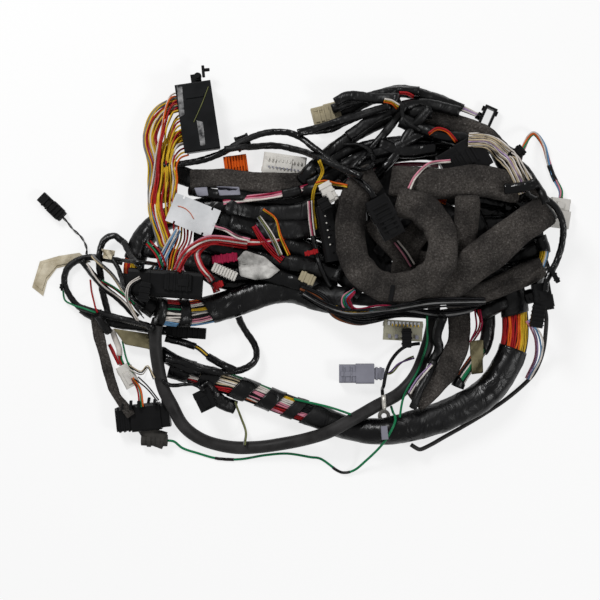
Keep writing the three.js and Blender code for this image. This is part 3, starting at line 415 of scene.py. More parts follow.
def section(route, sides):
    """Angles evenly round a section with round ends, and how far each place leans to its side."""
    half = float(route.h.mean())
    flat = max(float((route.w - route.h).mean()), 1e-6)
    arc = math.pi * half
    stops = np.cumsum([0, arc / 2, 2 * flat, arc, 2 * flat, arc / 2])
    far = stops[-1] * np.arange(sides) / sides
    angles = np.interp(far, stops, np.array([0, 1, 1, 3, 3, 4]) * math.pi / 2)
    return angles, np.interp(far, stops, [1, 1, -1, -1, 1, 1])


class Heap:
    """What lies under a place, out of every piece made so far."""

    def __init__(self):
        self.trees = []

    def add(self, vertices, faces):
        tree = BVHTree.FromPolygons([tuple(v) for v in vertices], faces)
        self.trees.append((tree, vertices.min(axis=0), vertices.max(axis=0)))

    def top(self, x, y, ceiling):
        """The highest surface there that is lower than the ceiling."""
        height = 0.0
        for tree, low, high in self.trees:
            if low[0] <= x <= high[0] and low[1] <= y <= high[1]:
                hit = tree.ray_cast(Vector((x, y, OPEN)), Vector((0, 0, -1)))[0]
                if hit is not None and height < hit.z < ceiling:
                    height = hit.z
        return height


heap = Heap()

# Ceilings, each as high as what a piece that is laid under it may lie on
LOW = 4 * MM            # nothing but the floor
UNDER = 22 * MM         # what lies on the floor
MIDWAY = 30 * MM        # the lower half of the heap
HIGH = 45 * MM          # all but what lies on the felt sleeves
OPEN = 1.0              # everything

FLOOR_GAP = 0.1 * MM
LAY_GAP = 0.2 * MM      # between a piece and what it lies on
WIRE_SIDES = 8
THIN_SIDES = 7


class Build:
    """Collects tubes and blocks into one mesh."""

    def __init__(self):
        self.vertices, self.faces, self.indices, self.materials = [], [], [], []
        self.count = 0

    def number(self, material):
        if material not in self.materials:
            self.materials.append(material)
        return self.materials.index(material)

    def skin(self, rings, material):
        """Closed skin over rings of points, all of the same count."""
        rings = np.asarray(rings)
        n, m = rings.shape[:2]
        base = self.count
        self.vertices.append(rings.reshape(-1, 3))
        for i in range(n - 1):
            for j in range(m):
                k = (j + 1) % m
                a, b = base + i * m, base + (i + 1) * m
                self.faces.append((a + j, a + k, b + k, b + j))
        self.faces.append(tuple(base + j for j in reversed(range(m))))
        self.faces.append(tuple(base + (n - 1) * m + j for j in range(m)))
        self.indices += [self.number(material)] * ((n - 1) * m + 2)
        self.count += n * m

    def tube(self, line, radius, material, sides=WIRE_SIDES):
        """A round tube along a line of points."""
        line = np.asarray(line, float)
        tangents = unit(np.gradient(line, axis=0))
        side = unit(np.cross([0.03, 0.02, 1.0], tangents))
        up = np.cross(tangents, side)
        angles = np.arange(sides) / sides * 2 * math.pi
        radius = np.broadcast_to(radius, len(line))[:, None, None]
        ring = side[:, None] * np.cos(angles)[None, :, None] + up[:, None] * np.sin(angles)[None, :, None]
        self.skin(line[:, None] + ring * radius, material)

    def sleeve(self, route, material, sides, grow=0.0, relief=None, slants=(0, 0)):
        """A skin over a route's sections, with its own relief, and with its ends cut aslant."""
        angles, leans = section(route, sides)
        share = (route.s - route.s[0]) / max(route.s[-1] - route.s[0], 1e-9)
        slant = slants[0] + (slants[1] - slants[0]) * share
        s = route.s[:, None] + slant[:, None] * np.cos(angles)[None, :]
        p, side, up, w, h = route.at(s)
        out = h + grow
        if relief is not None:
            out = out + relief(s, np.arange(sides) / sides)
        across = leans * np.maximum(w - h, 0) + out * np.cos(angles)
        above = out * np.sin(angles)
        self.skin(p + side * across[..., None] + up * above[..., None], material)

    def slab(self, at, yaw, size, material, bottom, edge=0.8 * MM):
        """A block with eased edges: at is its middle in the layout, size in millimetres."""
        length, width, height = (value * MM for value in size)
        along = np.array([math.cos(math.radians(yaw)), math.sin(math.radians(yaw)), 0.0])
        beside = np.array([-along[1], along[0], 0.0])
        edge = min(edge, 0.4 * min(length, width, height))
        rings = []
        for inset, rise in ((edge, 0.0), (0.0, edge), (0.0, height - edge), (edge, height)):
            a, b = length / 2 - inset - edge, width / 2 - inset - edge
            ring = []
            for turn, (sx, sy) in enumerate(((1, 1), (-1, 1), (-1, -1), (1, -1))):
                for t in (0.0, 0.5, 1.0):
                    angle = (turn + t) * math.pi / 2
                    x, y = sx * a + edge * math.cos(angle), sy * b + edge * math.sin(angle)
                    ring.append(spot(*at) + along * x + beside * y + np.array([0, 0, bottom + rise]))
            rings.append(ring)
        self.skin(rings, material)

    def finish(self, name, slot, stands_for=(), smooth=True):
        """One piece of all that was collected, which rides with the harness and lies on the heap."""
        vertices = np.concatenate(self.vertices)
        vertices[:, 2] = np.maximum(vertices[:, 2], FLOOR_GAP)
        heap.add(vertices, self.faces)
        mesh = bpy.data.meshes.new(name)
        mesh.from_pydata([tuple(v) for v in vertices], [], self.faces)
        for material in self.materials:
            mesh.materials.append(material)
        mesh.polygons.foreach_set("material_index", self.indices)
        mesh.polygons.foreach_set("use_smooth", [smooth] * len(mesh.polygons))
        mesh.update()
        piece = bpy.data.objects.new(name, mesh)
        bpy.context.scene.collection.objects.link(piece)
        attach(piece, "root")
        if stands_for:
            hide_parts(*stands_for)
        return piece


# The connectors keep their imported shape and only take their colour.
for material, nodes in PAINT:
    for node in nodes.split():
        mesh = NODES[node].data
        mesh.materials.clear()
        mesh.materials.append(material)
        heap.add(np.array([tuple(v.co) for v in mesh.vertices]), [tuple(p.vertices) for p in mesh.polygons])


def ripple(seed, s, around, length, lobes=1.0):
    """Smooth noise along a bundle and round it."""
    turn = 2 * math.pi * around
    x, y = lobes * np.cos(turn) + seed, lobes * np.sin(turn)
    values = [noise.noise((a, b, c)) for row in s / length for a, b, c in zip(row, x, y)]
    return np.array(values).reshape(s.shape)


def tape_relief(seed, pitch, lap=0.6 * MM, lumps=0.9 * MM):
    """Wraps that overlap in a spiral, over the lumps of the wires inside."""
    def relief(s, around):
        turn = (s / pitch + around) % 1.0
        wrap = lap * np.where(turn < 0.12, turn / 0.12, 1 - 0.8 * (turn - 0.12))
        wires = 0.3 * MM * np.abs(np.sin(math.pi * 7 * around + s * 14))
        return wrap + wires + lumps * ripple(seed, s, around, 18 * MM, 1.6) - 0.6 * MM
    return relief


def wander(route, seed, amount, length=30 * MM):
    """A slow drift to the side, one value for each point of a route."""
    return np.array([amount * noise.noise((s / length, seed * 7.3, 0.5)) for s in route.s])


SHELL_WIRE = 1.15 * MM      # radius of a wire that shows through a window in the tape
RIBBON_WIRE = 1.2 * MM      # and of one in a ribbon
STRAY_SHARE = 0.12          # of the wires in a window, which are black
WINDOW_ROOM = 4 * MM        # how far the wires of a window go on under the tape
WINDOW_DEPTH = 0.9 * MM     # how far they lie below it


def shell_wires(build, route, colours, seed):
    """Wires side by side round a bundle. The colours go from its left side over its top."""
    colours = colours.split()
    girth = 2 * math.pi * (float((route.w + route.h).mean()) / 2 - SHELL_WIRE)
    count = int(girth / (2.1 * SHELL_WIRE))
    for k in range(count):
        angle = 2 * math.pi * k / count
        share = angle / math.pi
        colour = colours[int(share * len(colours))] if share < 1 else "black"
        if dice.random() < STRAY_SHARE:
            colour = "black"
        inset = SHELL_WIRE + dice.uniform(0.2, 1.2) * MM
        angle = angle + wander(route, seed + k, 0.16, 20 * MM)
        line = route.beside((route.w - inset) * np.cos(angle), (route.h - inset) * np.sin(angle))
        build.tube(line, SHELL_WIRE, WIRES[colour], THIN_SIDES)


def wrap(name, route, windows=(), around=24, pitch=16 * MM, material=TAPE, slot="tape", stands_for=()):
    """Tape wound round a route. Each window is where it begins and ends, both slants, and its wires."""
    seed = sum(map(ord, name)) % 97
    build = Build()
    begin, slant = 0.0, 0
    for stop, after, first_slant, last_slant, _ in [*windows, (1.0, 1.0, 0, 0, "")]:
        slants = (slant * MM, first_slant * MM)
        build.sleeve(route.part(begin, stop), material, around, 0, tape_relief(seed, pitch), slants)
        begin, slant = after, last_slant
    build.finish(name + "_tape", slot, stands_for)
    if not windows:
        return
    inner = Build()
    for begin, stop, first_slant, last_slant, colours in windows:
        room = (max(abs(first_slant), abs(last_slant)) * MM + WINDOW_ROOM) / route.length
        stretch = route.part(max(begin - room, 0), min(stop + room, 1))
        inner.sleeve(stretch, CORE, 16, -2.6 * SHELL_WIRE)
        stretch.w, stretch.h = stretch.w - WINDOW_DEPTH, stretch.h - WINDOW_DEPTH
        shell_wires(inner, stretch, colours, seed)
    inner.finish(name + "_wires", "yellow_wire")


def taped(node, first, windows=(), step=2.5 * MM, **how):
    """A packed bundle under its tape."""
    wrap(node, route_of(node, first, step), windows, stands_for=(node,), **how)


def felt_skin(name, route, stands_for=()):
    """A felt sleeve with soft edges, a sewn seam, dents, and creases at its bends."""
    seed = sum(map(ord, name)) % 89
    heading = np.unwrap(np.arctan2(route.t[:, 1], route.t[:, 0]))
    bend = np.convolve(np.abs(np.gradient(heading, route.s)), np.ones(9) / 9, mode="same")
    end = np.minimum(route.s, route.s[-1] - route.s)
    pinch = 0.62 + 0.38 * np.sqrt(np.clip(end / (9 * MM), 0, 1))
    breadth = 1 + 0.07 * wander(route, seed, 1.0, 50 * MM)
    route.p = route.p + route.side * wander(route, seed + 5, 2.2 * MM, 60 * MM)[:, None]
    route.w, route.h = route.w * (0.75 + 0.25 * pinch) * breadth, route.h * pinch

    def relief(s, around):
        depth = np.clip(np.interp(s, route.s, bend) * 0.035, 0.12, 1.0) * 1.3 * MM
        crease = depth * np.sin(s / (5.0 * MM) + 3 * ripple(seed + 3, s, around, 25 * MM, 0.8))
        dents = 2.3 * MM * ripple(seed, s, around, 38 * MM, 1.3)
        fuzz = 0.5 * MM * ripple(seed + 9, s, around, 4 * MM, 8.0)
        seam = 1.2 * MM * np.exp(-((around - 0.25) / 0.012) ** 2)
        return dents + fuzz + crease - seam - 0.5 * MM

    build = Build()
    build.sleeve(route, FELT, 44, 0, relief)
    build.finish(name + "_sleeve", "felt", stands_for)


def ribbon(node, first, colours, layers=2, drift=1.6 * MM, tail=None):
    """Bare wires lying beside and over each other, which may spread to the places of a tail."""
    route = route_of(node, first, 3 * MM)
    build = Build()
    in_layer = math.ceil(len(colours) / layers)
    room = route.w - RIBBON_WIRE
    for k, colour in enumerate(colours):
        layer, place = divmod(k, in_layer)
        share = (place + 0.5 + 0.25 * (layer % 2)) / (in_layer + 0.25) * 2 - 1
        rise = (layer + 0.5) / layers * 2 - 1
        across = np.clip(room * share + wander(route, k + 3, drift, 40 * MM), -room, room)
        above = (route.h - RIBBON_WIRE) * rise * np.sqrt(np.maximum(1 - share * share * 0.6, 0.2))
        line = route.beside(across, above)
        if tail is not None:
            line = Route(np.vstack([line[::4], tail(share)]), RIBBON_WIRE, RIBBON_WIRE, 3 * MM).p
        build.tube(line, RIBBON_WIRE, WIRES[colour])
    build.finish(node + "_strands", "yellow_wire", (node,))
    return route


# Loose pieces, laid over what is there. Their places and sizes are in millimetres of the layout.

PLAN_STEP = 3 * MM      # spacing of the points at which a loose piece's height is worked out
SAG_ROUNDS = 500        # of levelling, after which a free span has taken its sag
FOOT_SHARE = 0.7        # of a piece's half width, over which it rests
RIM_POINTS = 48         # round a scrap
CREASE = 7              # size of the creases in a scrap


def places(line):
    """The points of a line, which is given as such or as text with an x,y pair for each."""
    if isinstance(line, str):
        line = [pair.split(",") for pair in line.split()]
    return np.array(line, float)


def settle(line, half_width, half_height, ceiling=OPEN, sag=0.25 * MM, start=None):
    """A route through places of the layout that rests on what lies below its ceiling."""
    route = Route([spot(*place) for place in places(line)], half_width, half_height, PLAN_STEP)
    base = np.array([
        max(heap.top(*(p + side * half_width * share)[:2], ceiling) for share in (-FOOT_SHARE, 0, FOOT_SHARE))
        for p, side in zip(route.p, route.side)
    ])
    base = np.maximum(base, np.maximum(np.append(base[1:], 0), np.append(0, base[:-1])))
    base += half_height + LAY_GAP
    if start is not None:
        base[:2] = start * MM
    z = base.copy()
    for _ in range(SAG_ROUNDS):
        z[1:-1] = np.maximum(base[1:-1], (z[:-2] + z[2:]) / 2 - sag)
    z[-1] = max(base[-1], 2 * z[-2] - z[-3] - sag)
    z[0] = max(base[0], 2 * z[1] - z[2] - sag)
    route.p[:, 2] = z
    route.set_frames()
    return route


def strands(name, colours, line, spread=0, radius=1.2, ceiling=OPEN, jitter=0.6, **how):
    """Single wires side by side. spread is the width over which they lie, or two, at start and end."""
    points = places(line)
    heading = np.gradient(points, axis=0)
    beside = unit(np.stack([-heading[:, 1], heading[:, 0]], axis=1))
    breadth = np.linspace(*(spread if isinstance(spread, tuple) else (spread, spread)), len(points))
    colours = colours.split()
    build = Build()
    for k, colour in enumerate(colours):
        share = (k + 0.5) / len(colours) - 0.5
        offset = breadth * share + np.array([dice.uniform(-jitter, jitter) for _ in points])
        route = settle(points + beside * offset[:, None], radius * MM, radius * MM, ceiling, **how)
        build.tube(route.p, radius * MM, WIRES[colour], THIN_SIDES)
        single = Build()
        single.tube(route.p, radius * MM, WIRES[colour], THIN_SIDES - 1)
        heap.add(single.vertices[0], single.faces)
    build.finish(name, "yellow_wire")


def bundle(name, line, half_width, half_height=None, ceiling=UNDER, sag=0.12 * MM, **how):
    """A taped branch laid loose."""
    route = settle(line, half_width * MM, (half_height or half_width) * MM, ceiling, sag)
    wrap(name, route, pitch=11 * MM, around=18, **how)


def shifted(at, yaw, along, across=0.0):
    """A place moved along and across a block that is turned by yaw."""
    c, s = math.cos(math.radians(yaw)), math.sin(math.radians(yaw))
    return at[0] + along * c - across * s, at[1] + along * s + across * c


def rest_on(at, yaw, length, width, ceiling=OPEN):
    """The height on which a block of this size lies."""
    shares = (-0.4, 0, 0.4)
    feet = [spot(*shifted(at, yaw, i * length, j * width)) for i in shares for j in shares]
    return max(heap.top(x, y, ceiling) for x, y, _ in feet) + LAY_GAP


def small_part(name, at, yaw, size, material, ribs=0, latch=False, ceiling=OPEN, slot=None):
    """A small connector: a block with ribs round it and a latch on top."""
    length, width, height = size
    bottom = rest_on(at, yaw, length, width, ceiling)
    build = Build()
    build.slab(at, yaw, (length, width - 1.6, height - 1), material, bottom)
    for k in range(ribs):
        middle = shifted(at, yaw, length * ((k + 0.5) / ribs - 0.5) * 0.9)
        build.slab(middle, yaw, (length * 0.3 / ribs, width, height), material, bottom, 0.4 * MM)
    if latch:
        build.slab(shifted(at, yaw, 0.2 * length), yaw, (length * 0.4, width * 0.4, 2.4), material,
                   bottom + (height - 1.4) * MM, 0.5 * MM)
    build.finish(name, slot or SLOT_OF[material], smooth=False)


def scrap(name, corners, material, thickness, lumps, ceiling=OPEN):
    """A thin crumpled piece over what lies below it, from its corners."""
    corners = places(corners)
    edge = np.vstack([corners, corners[:1]])
    far = np.concatenate([[0], np.cumsum(np.linalg.norm(np.diff(edge, axis=0), axis=1))])
    at = np.linspace(0, far[-1], RIM_POINTS, endpoint=False)
    rim = np.stack([np.interp(at, far, edge[:, i]) for i in range(2)], axis=1)
    middle = corners.mean(axis=0)
    rings = [middle + (rim - middle) * share for share in (0.04, 0.25, 0.45, 0.65, 0.82, 1.0)]
    heights = np.array([[heap.top(*spot(*q)[:2], ceiling) for q in ring] for ring in rings])
    crumple = np.array([[noise.noise((q[0] / CREASE, q[1] / CREASE, len(name))) for q in ring] for ring in rings])
    heights = (heights + heights.max()) / 2 + (lumps * crumple + lumps + 0.3) * MM
    low, top = (
        [[spot(*q) + [0, 0, z + rise * MM] for q, z in zip(ring, row)] for ring, row in zip(rings, heights)]
        for rise in (0, thickness)
    )
    build = Build()
    build.skin(np.array(low + top[::-1]), material)
    build.finish(name, SLOT_OF[material])


# Free leads come first of the pieces, as they decide how far the part spreads.

LEAD_FIT = 0.97         # of a packed lead's width, which its wires take up


def lead(node, first, colours, pitch=22 * MM, slot="conduit", sleeves=(), material=None):
    """A free lead: one wire, or a few twisted round each other, with sleeves over stretches of it."""
    route = route_of(node, first, 2 * MM)
    colours = colours.split()
    width = float(route.w.mean()) * LEAD_FIT
    build = Build()
    if len(colours) == 1:
        build.tube(route.p, width, material or WIRES[colours[0]], 12)
    else:
        wire = width * (0.5 if len(colours) == 2 else 0.4)
        flat = min(float(route.h.mean()) / width * 1.3, 1.0)
        for k, colour in enumerate(colours):
            angle = 2 * math.pi * (k / len(colours) + route.s / pitch)
            reach = (width - wire) * (1 + 0.2 * math.sin(k))
            build.tube(route.beside(reach * np.cos(angle), reach * flat * np.sin(angle)), wire, WIRES[colour])
    for begin, stop in sleeves:
        build.sleeve(route.part(begin, stop), TAPE, 14, 0.5 * MM, tape_relief(3, 9 * MM, 0.3 * MM, 0.4 * MM))
    build.finish(node + "_cord", slot, (node,))
    tuple(route.p[0])
    [tuple(p) for p in route.p]


lead("sensor_lead", (-272, 60), "black grey")
lead("green_lead", (-165, -178), "green", slot="green_wire", sleeves=[(0.17, 0.24), (0.58, 0.65)])
lead("grey_plug_lead", (150, -70), "violet olive", pitch=60 * MM)
lead("ring_lead", (155, -55), "black")
lead("right_plug_lead", (262, 150), "green pink blue white orange",
     pitch=140 * MM, slot="white_wire", sleeves=[(0.0, 0.2), (0.72, 0.86)])
lead("right_lead", (302, -14), "black", material=CONDUIT)

# Packed bundles

taped(
    "lower_trunk", (-163, -83), around=36, pitch=24 * MM,
    windows=[
        (0.052, 0.066, 3, 3, "black white beige white red black"),
        (0.113, 0.146, 6, 7, "green white beige white beige red red black"),
        (0.188, 0.209, 7, 7, "green white white pink pink white orange black"),
        (0.248, 0.272, 7, 7, "black yellow white pink red pink black"),
        (0.301, 0.316, 7, 7, "black black black pink red black"),
        (0.85, 0.92, 2, -3, "red red orange red orange yellow yellow black"),
    ],
)
taped("side_trunk", (200, -110), windows=[
    (0.08, 0.4, 3, 4, "red orange blue white green green black white black"),
])
taped("shoulder_trunk", (-76, 122), around=34, pitch=9 * MM, windows=[
    (0.7, 0.76, 2, 2, "blue white grey yellow yellow red orange red"),
])
taped(
    "centre_trunk", (-176, -14), around=36, windows=[
        (0.03, 0.1, 0, 0, "red red black green white white blue blue"),
        (0.16, 0.25, 0, -8, "red orange red white yellow grey white pink white blue blue"),
    ],
)
taped("middle_trunk", (-90, 96), around=32, pitch=22 * MM)
taped("top_trunk", (56, 240), pitch=12 * MM, windows=[(0.87, 0.97, 1, 1, "pink white lilac white pink")])
taped("left_floor_bundle", (-276, -11), pitch=10 * MM, around=20)
for node, first in (("left_outer_loop", (-284, -3)), ("left_inner_loop", (-220, 66)), ("lower_branch_loop", (-79, -23)),
                    ("arch_cable", (-171, 168)), ("top_cable", (-3, 211)), ("edge_bundle", (298, 126))):
    taped(node, first, pitch=9 * MM, around=16, step=2 * MM)

for node, first in (("felt_coil", (94, 152)), ("felt_main", (118, 8)), ("felt_lower", (180, 4)),
                    ("felt_middle", (112, 148)), ("felt_side", (204, 126)), ("felt_back", (140, 236)),
                    ("felt_tail", (200, 6)), ("felt_strap", (-138, 153)), ("left_down_band", (-256, -12))):
    felt_skin(node, route_of(node, first, 3 * MM), (node,))

FAN = ("yellow red yellow white yellow pink orange yellow blue red yellow white yellow red grey yellow red "
       "white yellow yellow red").split()
ribbon(
    "fan_wires_outer", (-150, 226), FAN, layers=3, drift=3.2 * MM,
    tail=lambda share: [spot(-150 - 18 * share, 50) + [0, 0, 0.02], spot(-148 - 22 * share, 33) + [0, 0, 0.01]],
)
ribbon("fan_wires_inner", (-148, 204), FAN[4:] + FAN[:4], layers=3, drift=3.2 * MM)
ribbon("red_wires", (-98, -8), "red pink red red white red".split(), drift=2.6 * MM)
pink = ribbon("pink_wires", (-96, 123), "pink white pink white pink maroon".split(), drift=2.4 * MM)
ribbon("beige_wires", (240, 190), "beige white beige white grey beige white beige".split())
build = Build()
build.sleeve(pink.part(0.26, 0.36), TAPE, 20, 1.0 * MM, tape_relief(4, 10 * MM, 0.4 * MM, 0.5 * MM))
build.finish("pink_wires_wrap", "tape")

ROPE_WIRE = 1.5 * MM
ROPE_TURN = 50 * MM     # length in which its wires turn by one radian
rope = route_of("lower_rope", (0, 13))
reach = rope.w - ROPE_WIRE
build = Build()
for k, colour in enumerate("black black brown black black black grey black black".split()):
    angle = 2 * math.pi * k / 9 + rope.s / ROPE_TURN
    build.tube(rope.beside(reach * np.cos(angle), reach * np.sin(angle)), ROPE_WIRE, WIRES[colour])
build.finish("lower_rope_strands", "tape", ("lower_rope",))

build = Build()
build.sleeve(route_of("loop_conduit", (-180, -20), 4 * MM), CONDUIT, 28,
             relief=lambda s, around: 0.35 * MM * ripple(5, s, around, 40 * MM))
build.finish("loop_conduit_skin", "conduit", ("loop_conduit",))

white_lead = route_of("left_white_lead", (-238, -40))
build = Build()
build.sleeve(white_lead.part(0, 0.75), WIRES["white"], 20, -0.3 * MM)
for k, colour in enumerate("green red white yellow".split()):
    angle = 2 * math.pi * k / 4
    build.tube(white_lead.beside(2.2 * MM * math.cos(angle), 2.2 * MM * math.sin(angle)), 1.3 * MM, WIRES[colour])
build.finish("left_white_sleeve", "white_wire", ("left_white_lead",))

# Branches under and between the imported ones

BED_HALF_HEIGHT = 4.5
for name, line, half_width in (
    ("bed_upper", "-130,102 -60,98 10,94 48,82", 15),
    ("bed_middle", "-135,72 -60,68 10,60 48,46", 17),
    ("bed_lower", "-122,42 -60,36 0,28 48,22", 16),
    ("bed_pink", "-112,127 -50,127 38,127", 9),
    ("bed_coil_low", "88,100 86,68 98,42 126,30", 15),
    ("bed_coil", "96,166 106,112 110,76 122,52", 24),
    ("bed_coil_side", "140,140 152,100 150,60", 22),
    ("bed_right", "160,130 215,134 262,126 288,112", 14),
    ("bed_right_gap", "212,112 236,112 264,106", 9),
    ("bed_rope", "36,10 70,2 125,0 168,2", 8),
    ("bed_trunk", "-112,24 -80,19 -48,15", 8),
    ("bed_right_low", "196,84 240,82 290,84", 12),
    ("bed_top", "58,166 106,184 170,200 210,198", 13),
    ("bed_left", "-196,4 -178,-10 -160,-24", 13),
    ("bed_strap", "-158,162 -146,157 -126,151", 12),
    ("bed_right_edge", "268,150 288,112 298,76 300,40", 12),
):
    bundle(name, line, half_width, BED_HALF_HEIGHT, ceiling=LOW, sag=0)
bundle("strap_branch", "-138,138 -88,130 -12,135 38,144", 7)
bundle("sheet_upper", "-98,119 -48,108 0,110 22,118", 13, 6)
bundle("sheet_middle", "-102,98 -62,88 0,88 28,92", 12, 6)
bundle("sheet_lower", "-125,75 -85,60 -38,50 12,42 50,31", 11, 6)
bundle("sheet_left", "-118,48 -85,34 -50,34 -12,24 30,16", 10, 6)
bundle("shroud_branch", "-195,62 -156,56 -112,48", 8, 5)
bundle("shroud_back", "-190,30 -160,48 -130,40 -100,20", 9, 6)
bundle("upper_branch_a", "2,150 38,186 75,212 125,234 165,236", 9, 7)
bundle("upper_branch_b", "22,160 62,188 119,200 190,196", 6, ceiling=MIDWAY)
bundle("upper_branch_c", "20,145 60,164 100,176 150,184 190,180", 8, 6)
bundle("upper_branch_d", "50,150 86,186 112,216 132,244", 5, ceiling=40 * MM)
bundle("upper_branch_e", "90,150 120,182 138,212 162,238", 6, ceiling=MIDWAY)
bundle("upper_branch_f", "10,145 70,176 115,190 160,212", 7, 6)
bundle("upper_branch_g", "60,205 100,232 150,246 200,236", 7, 6)
bundle("upper_branch_h", "100,195 130,186 170,190", 9, 6)
bundle("upper_thin", "115,262 125,244 130,225 150,210", 2.6, ceiling=OPEN)
bundle("top_second", "40,240 75,252 119,262 150,262", 6)
bundle("top_wedge", "44,246 60,254 90,252 122,250", 6.5, 5, ceiling=OPEN)
bundle("top_blade", "-3,208 16,213 44,222 76,232 112,241", 5, 3.5, ceiling=OPEN)
bundle("loop_end", "-221,73 -215,63 -206,51 -194,39", 4, ceiling=OPEN)
bundle("back_branch", "125,225 175,206 238,194 275,175", 9)
bundle("second_arch", "-94,188 -62,192 -31,195 0,188 38,168 75,150", 4, ceiling=OPEN)
bundle("small_loop", "56,196 75,194 88,185 90,169 80,160 62,163", 2.6, ceiling=OPEN)
bundle("plug_branch", "38,106 52,75 54,48 44,25", 7)
bundle("coil_inner_a", "94,119 119,81 138,48 125,25", 12, 7)
bundle("coil_inner_b", "150,112 165,80 150,38", 12, 7)
bundle("coil_inner_c", "100,60 125,95 160,100", 9, 7)
bundle("under_felt_a", "150,130 194,104 238,94 300,106", 12, 7)
bundle("under_felt_b", "170,60 225,62 275,56 306,69", 11, 7)
bundle("under_felt_c", "160,20 238,31 288,40 312,48", 11, 6)
bundle("under_felt_d", "205,130 230,70 215,25", 11, 7)
bundle("right_branch_a", "245,190 266,152 285,122 306,100", 10, 7)
bundle("right_fill", "258,148 280,124 300,112 312,96", 13, 8)
bundle("right_branch_b", "255,170 272,165 290,140 300,118", 5, ceiling=OPEN)
bundle("right_branch_c", "300,80 305,60 298,35 300,10", 8, windows=[
    (0.3, 0.55, 0, 0, "black blue white yellow yellow black"),
])
bundle("lower_right_a", "225,-19 250,-6 275,2 295,6", 9, 7)
bundle("lead_branch", "178,-20 172,-44 175,-62 165,-81", 6, ceiling=OPEN)
bundle("ring_branch", "168,-76 158,-96 148,-114 140,-134", 5, ceiling=OPEN)
bundle("left_diagonal", "-275,50 -260,31 -246,15 -231,2 -206,-22", 4, ceiling=OPEN)
bundle("left_second", "-280,-8 -238,-20 -180,-34", 4, ceiling=OPEN)
bundle("left_roll", "-179,-26 -184,-46 -182,-72", 7.5, ceiling=25 * MM, material=CONDUIT)
bundle("branch_window", "-169,-48 -131,-60 -115,-72 -81,-88", 4.5, ceiling=OPEN, windows=[
    (0.4, 0.6, 0, 0, "white yellow yellow beige"),
])
bundle("branch_start", "-176,-66 -150,-80 -125,-90", 9, 8)
bundle("left_thin_tube", "-171,-100 -160,-106 -131,-105 -118,-112", 2.4, ceiling=OPEN)
bundle("under_trunk_wedge", "-120,-104 -100,-128 -82,-136", 9, 5)
bundle("left_drop", "-252,-20 -247,-30 -241,-40", 5, ceiling=OPEN)
bundle("boot_link", "-197,-158 -191,-166 -182,-174 -171,-178", 11, 8, LOW, material=RUBBER, slot="rubber_boot")
bundle("left_twin", "-244,51 -221,49 -175,44", 2.4, ceiling=OPEN)
bundle("left_inner_strand", "-240,60 -226,40 -214,14 -196,-8", 3, ceiling=OPEN)
felt_skin("coil_lining", settle("92,104 112,78 136,52 168,42", 17 * MM, 6 * MM, MIDWAY, 0.1 * MM))
felt_skin("coil_flap", settle("168,108 150,88 134,60 126,30", 15 * MM, 5 * MM, 36 * MM, 0.1 * MM))
felt_skin("coil_side", settle("58,128 52,96 56,60 74,26", 13 * MM, 6 * MM, MIDWAY, 0.1 * MM))

# Single wires

# The fan: each wire leaves the junction block at its own place and then keeps to its own lane.
FAN_WIRES = 18
FAN_COLOURS = ["yellow", "yellow", "yellow", "red", "white", "orange"]
for k in range(FAN_WIRES):
    share = k / (FAN_WIRES - 1)
    x, y, lane = -156 + 12 * share, 262 - 78 * share, -184 + 32 * share
    strands("fan_wire_%d" % k, dice.choice(FAN_COLOURS),
            [(x + 3, y), (x - 6, y - 5), ((x + lane) / 2 - 7, (y + 150) / 2), (lane, 150), (lane - 3, 125), (lane, 96)],
            ceiling=MIDWAY, start=dice.uniform(8, 26), jitter=1.5)
plate_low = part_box("label_plate")[0][2]
strands("plate_wires", "red white orange yellow red white red pink",
        "-146,98 -148,75 -156,55 -158,34", (24, 26), jitter=2, ceiling=plate_low)
strands("plate_wires_blue", "white blue white blue", "-152,88 -166,62 -180,34", (8, 12), ceiling=plate_low)
strands("cross_wires", "red green red", "-190,72 -176,56 -170,40", 9)
strands("red_bend", "red red white red pink", "-152,36 -144,54 -131,66 -112,74 -66,70", 12, radius=1.4)
strands("white_bend", "white pink black", "-106,92 -92,88 -78,80 -62,76", 7)
strands("inner_red", "red red red maroon", "-58,92 -46,74 -34,60 -22,50", (6, 11), radius=0.95)
strands("inner_yellow", "yellow orange", "-46,114 -31,102 -24,80 -14,56", 4, radius=0.95)
strands("inner_grey", "grey olive white", "-52,104 -36,80 -24,56", 7, radius=0.9)
strands("plug_yellow", "yellow yellow", "24,172 28,160 18,137 16,120 20,88", 4)
strands("plug_yellow_low", "yellow orange", "20,144 30,147 45,143 58,140", 4)
strands("plug_side", "white pink maroon black white", "12,124 14,96 18,70", 6, radius=0.9)
bundle("plug_side_tape", "16,80 20,60 27,38 38,16", 3.2, ceiling=OPEN)
strands("coil_wires", "pink black white", "119,72 130,58 140,43", 7)
strands("beige_fan", "beige white beige white lilac beige white beige white beige white",
        "208,198 236,196 256,178 266,160 274,144 279,134", (18, 22), jitter=1.2, radius=1.0, sag=1.2 * MM)
bundle("fan_cover", "250,136 264,137 278,139 289,143", 6.5, 4, ceiling=OPEN)
strands("top_red", "red red", "124,259 134,258 142,254", 4, sag=0.6 * MM)
strands("top_orange", "orange yellow white", "104,247 114,245 122,240", 5, sag=0.6 * MM)
strands("orange_arc", "orange red", "160,206 170,213 182,210 194,196", 4, sag=0.6 * MM)
strands("pink_hook", "white pink", "134,136 142,152 160,168 186,172", 4)
strands("gap_orange", "orange red orange", "138,132 160,130 182,122", 7, ceiling=HIGH)
strands("gap_white", "white black beige", "158,124 172,112 184,102", 8, ceiling=HIGH)
strands("right_loose", "pink lilac blue white", "285,-25 300,-48 301,-72 288,-100", (8, 5), ceiling=OPEN)
strands("green_drop", "green", "159,-20 160,-50 156,-69 148,-90 131,-119 124,-146", radius=1.5)
strands("lilac_pair", "lilac white", "164,-80 150,-96 136,-116", 4)
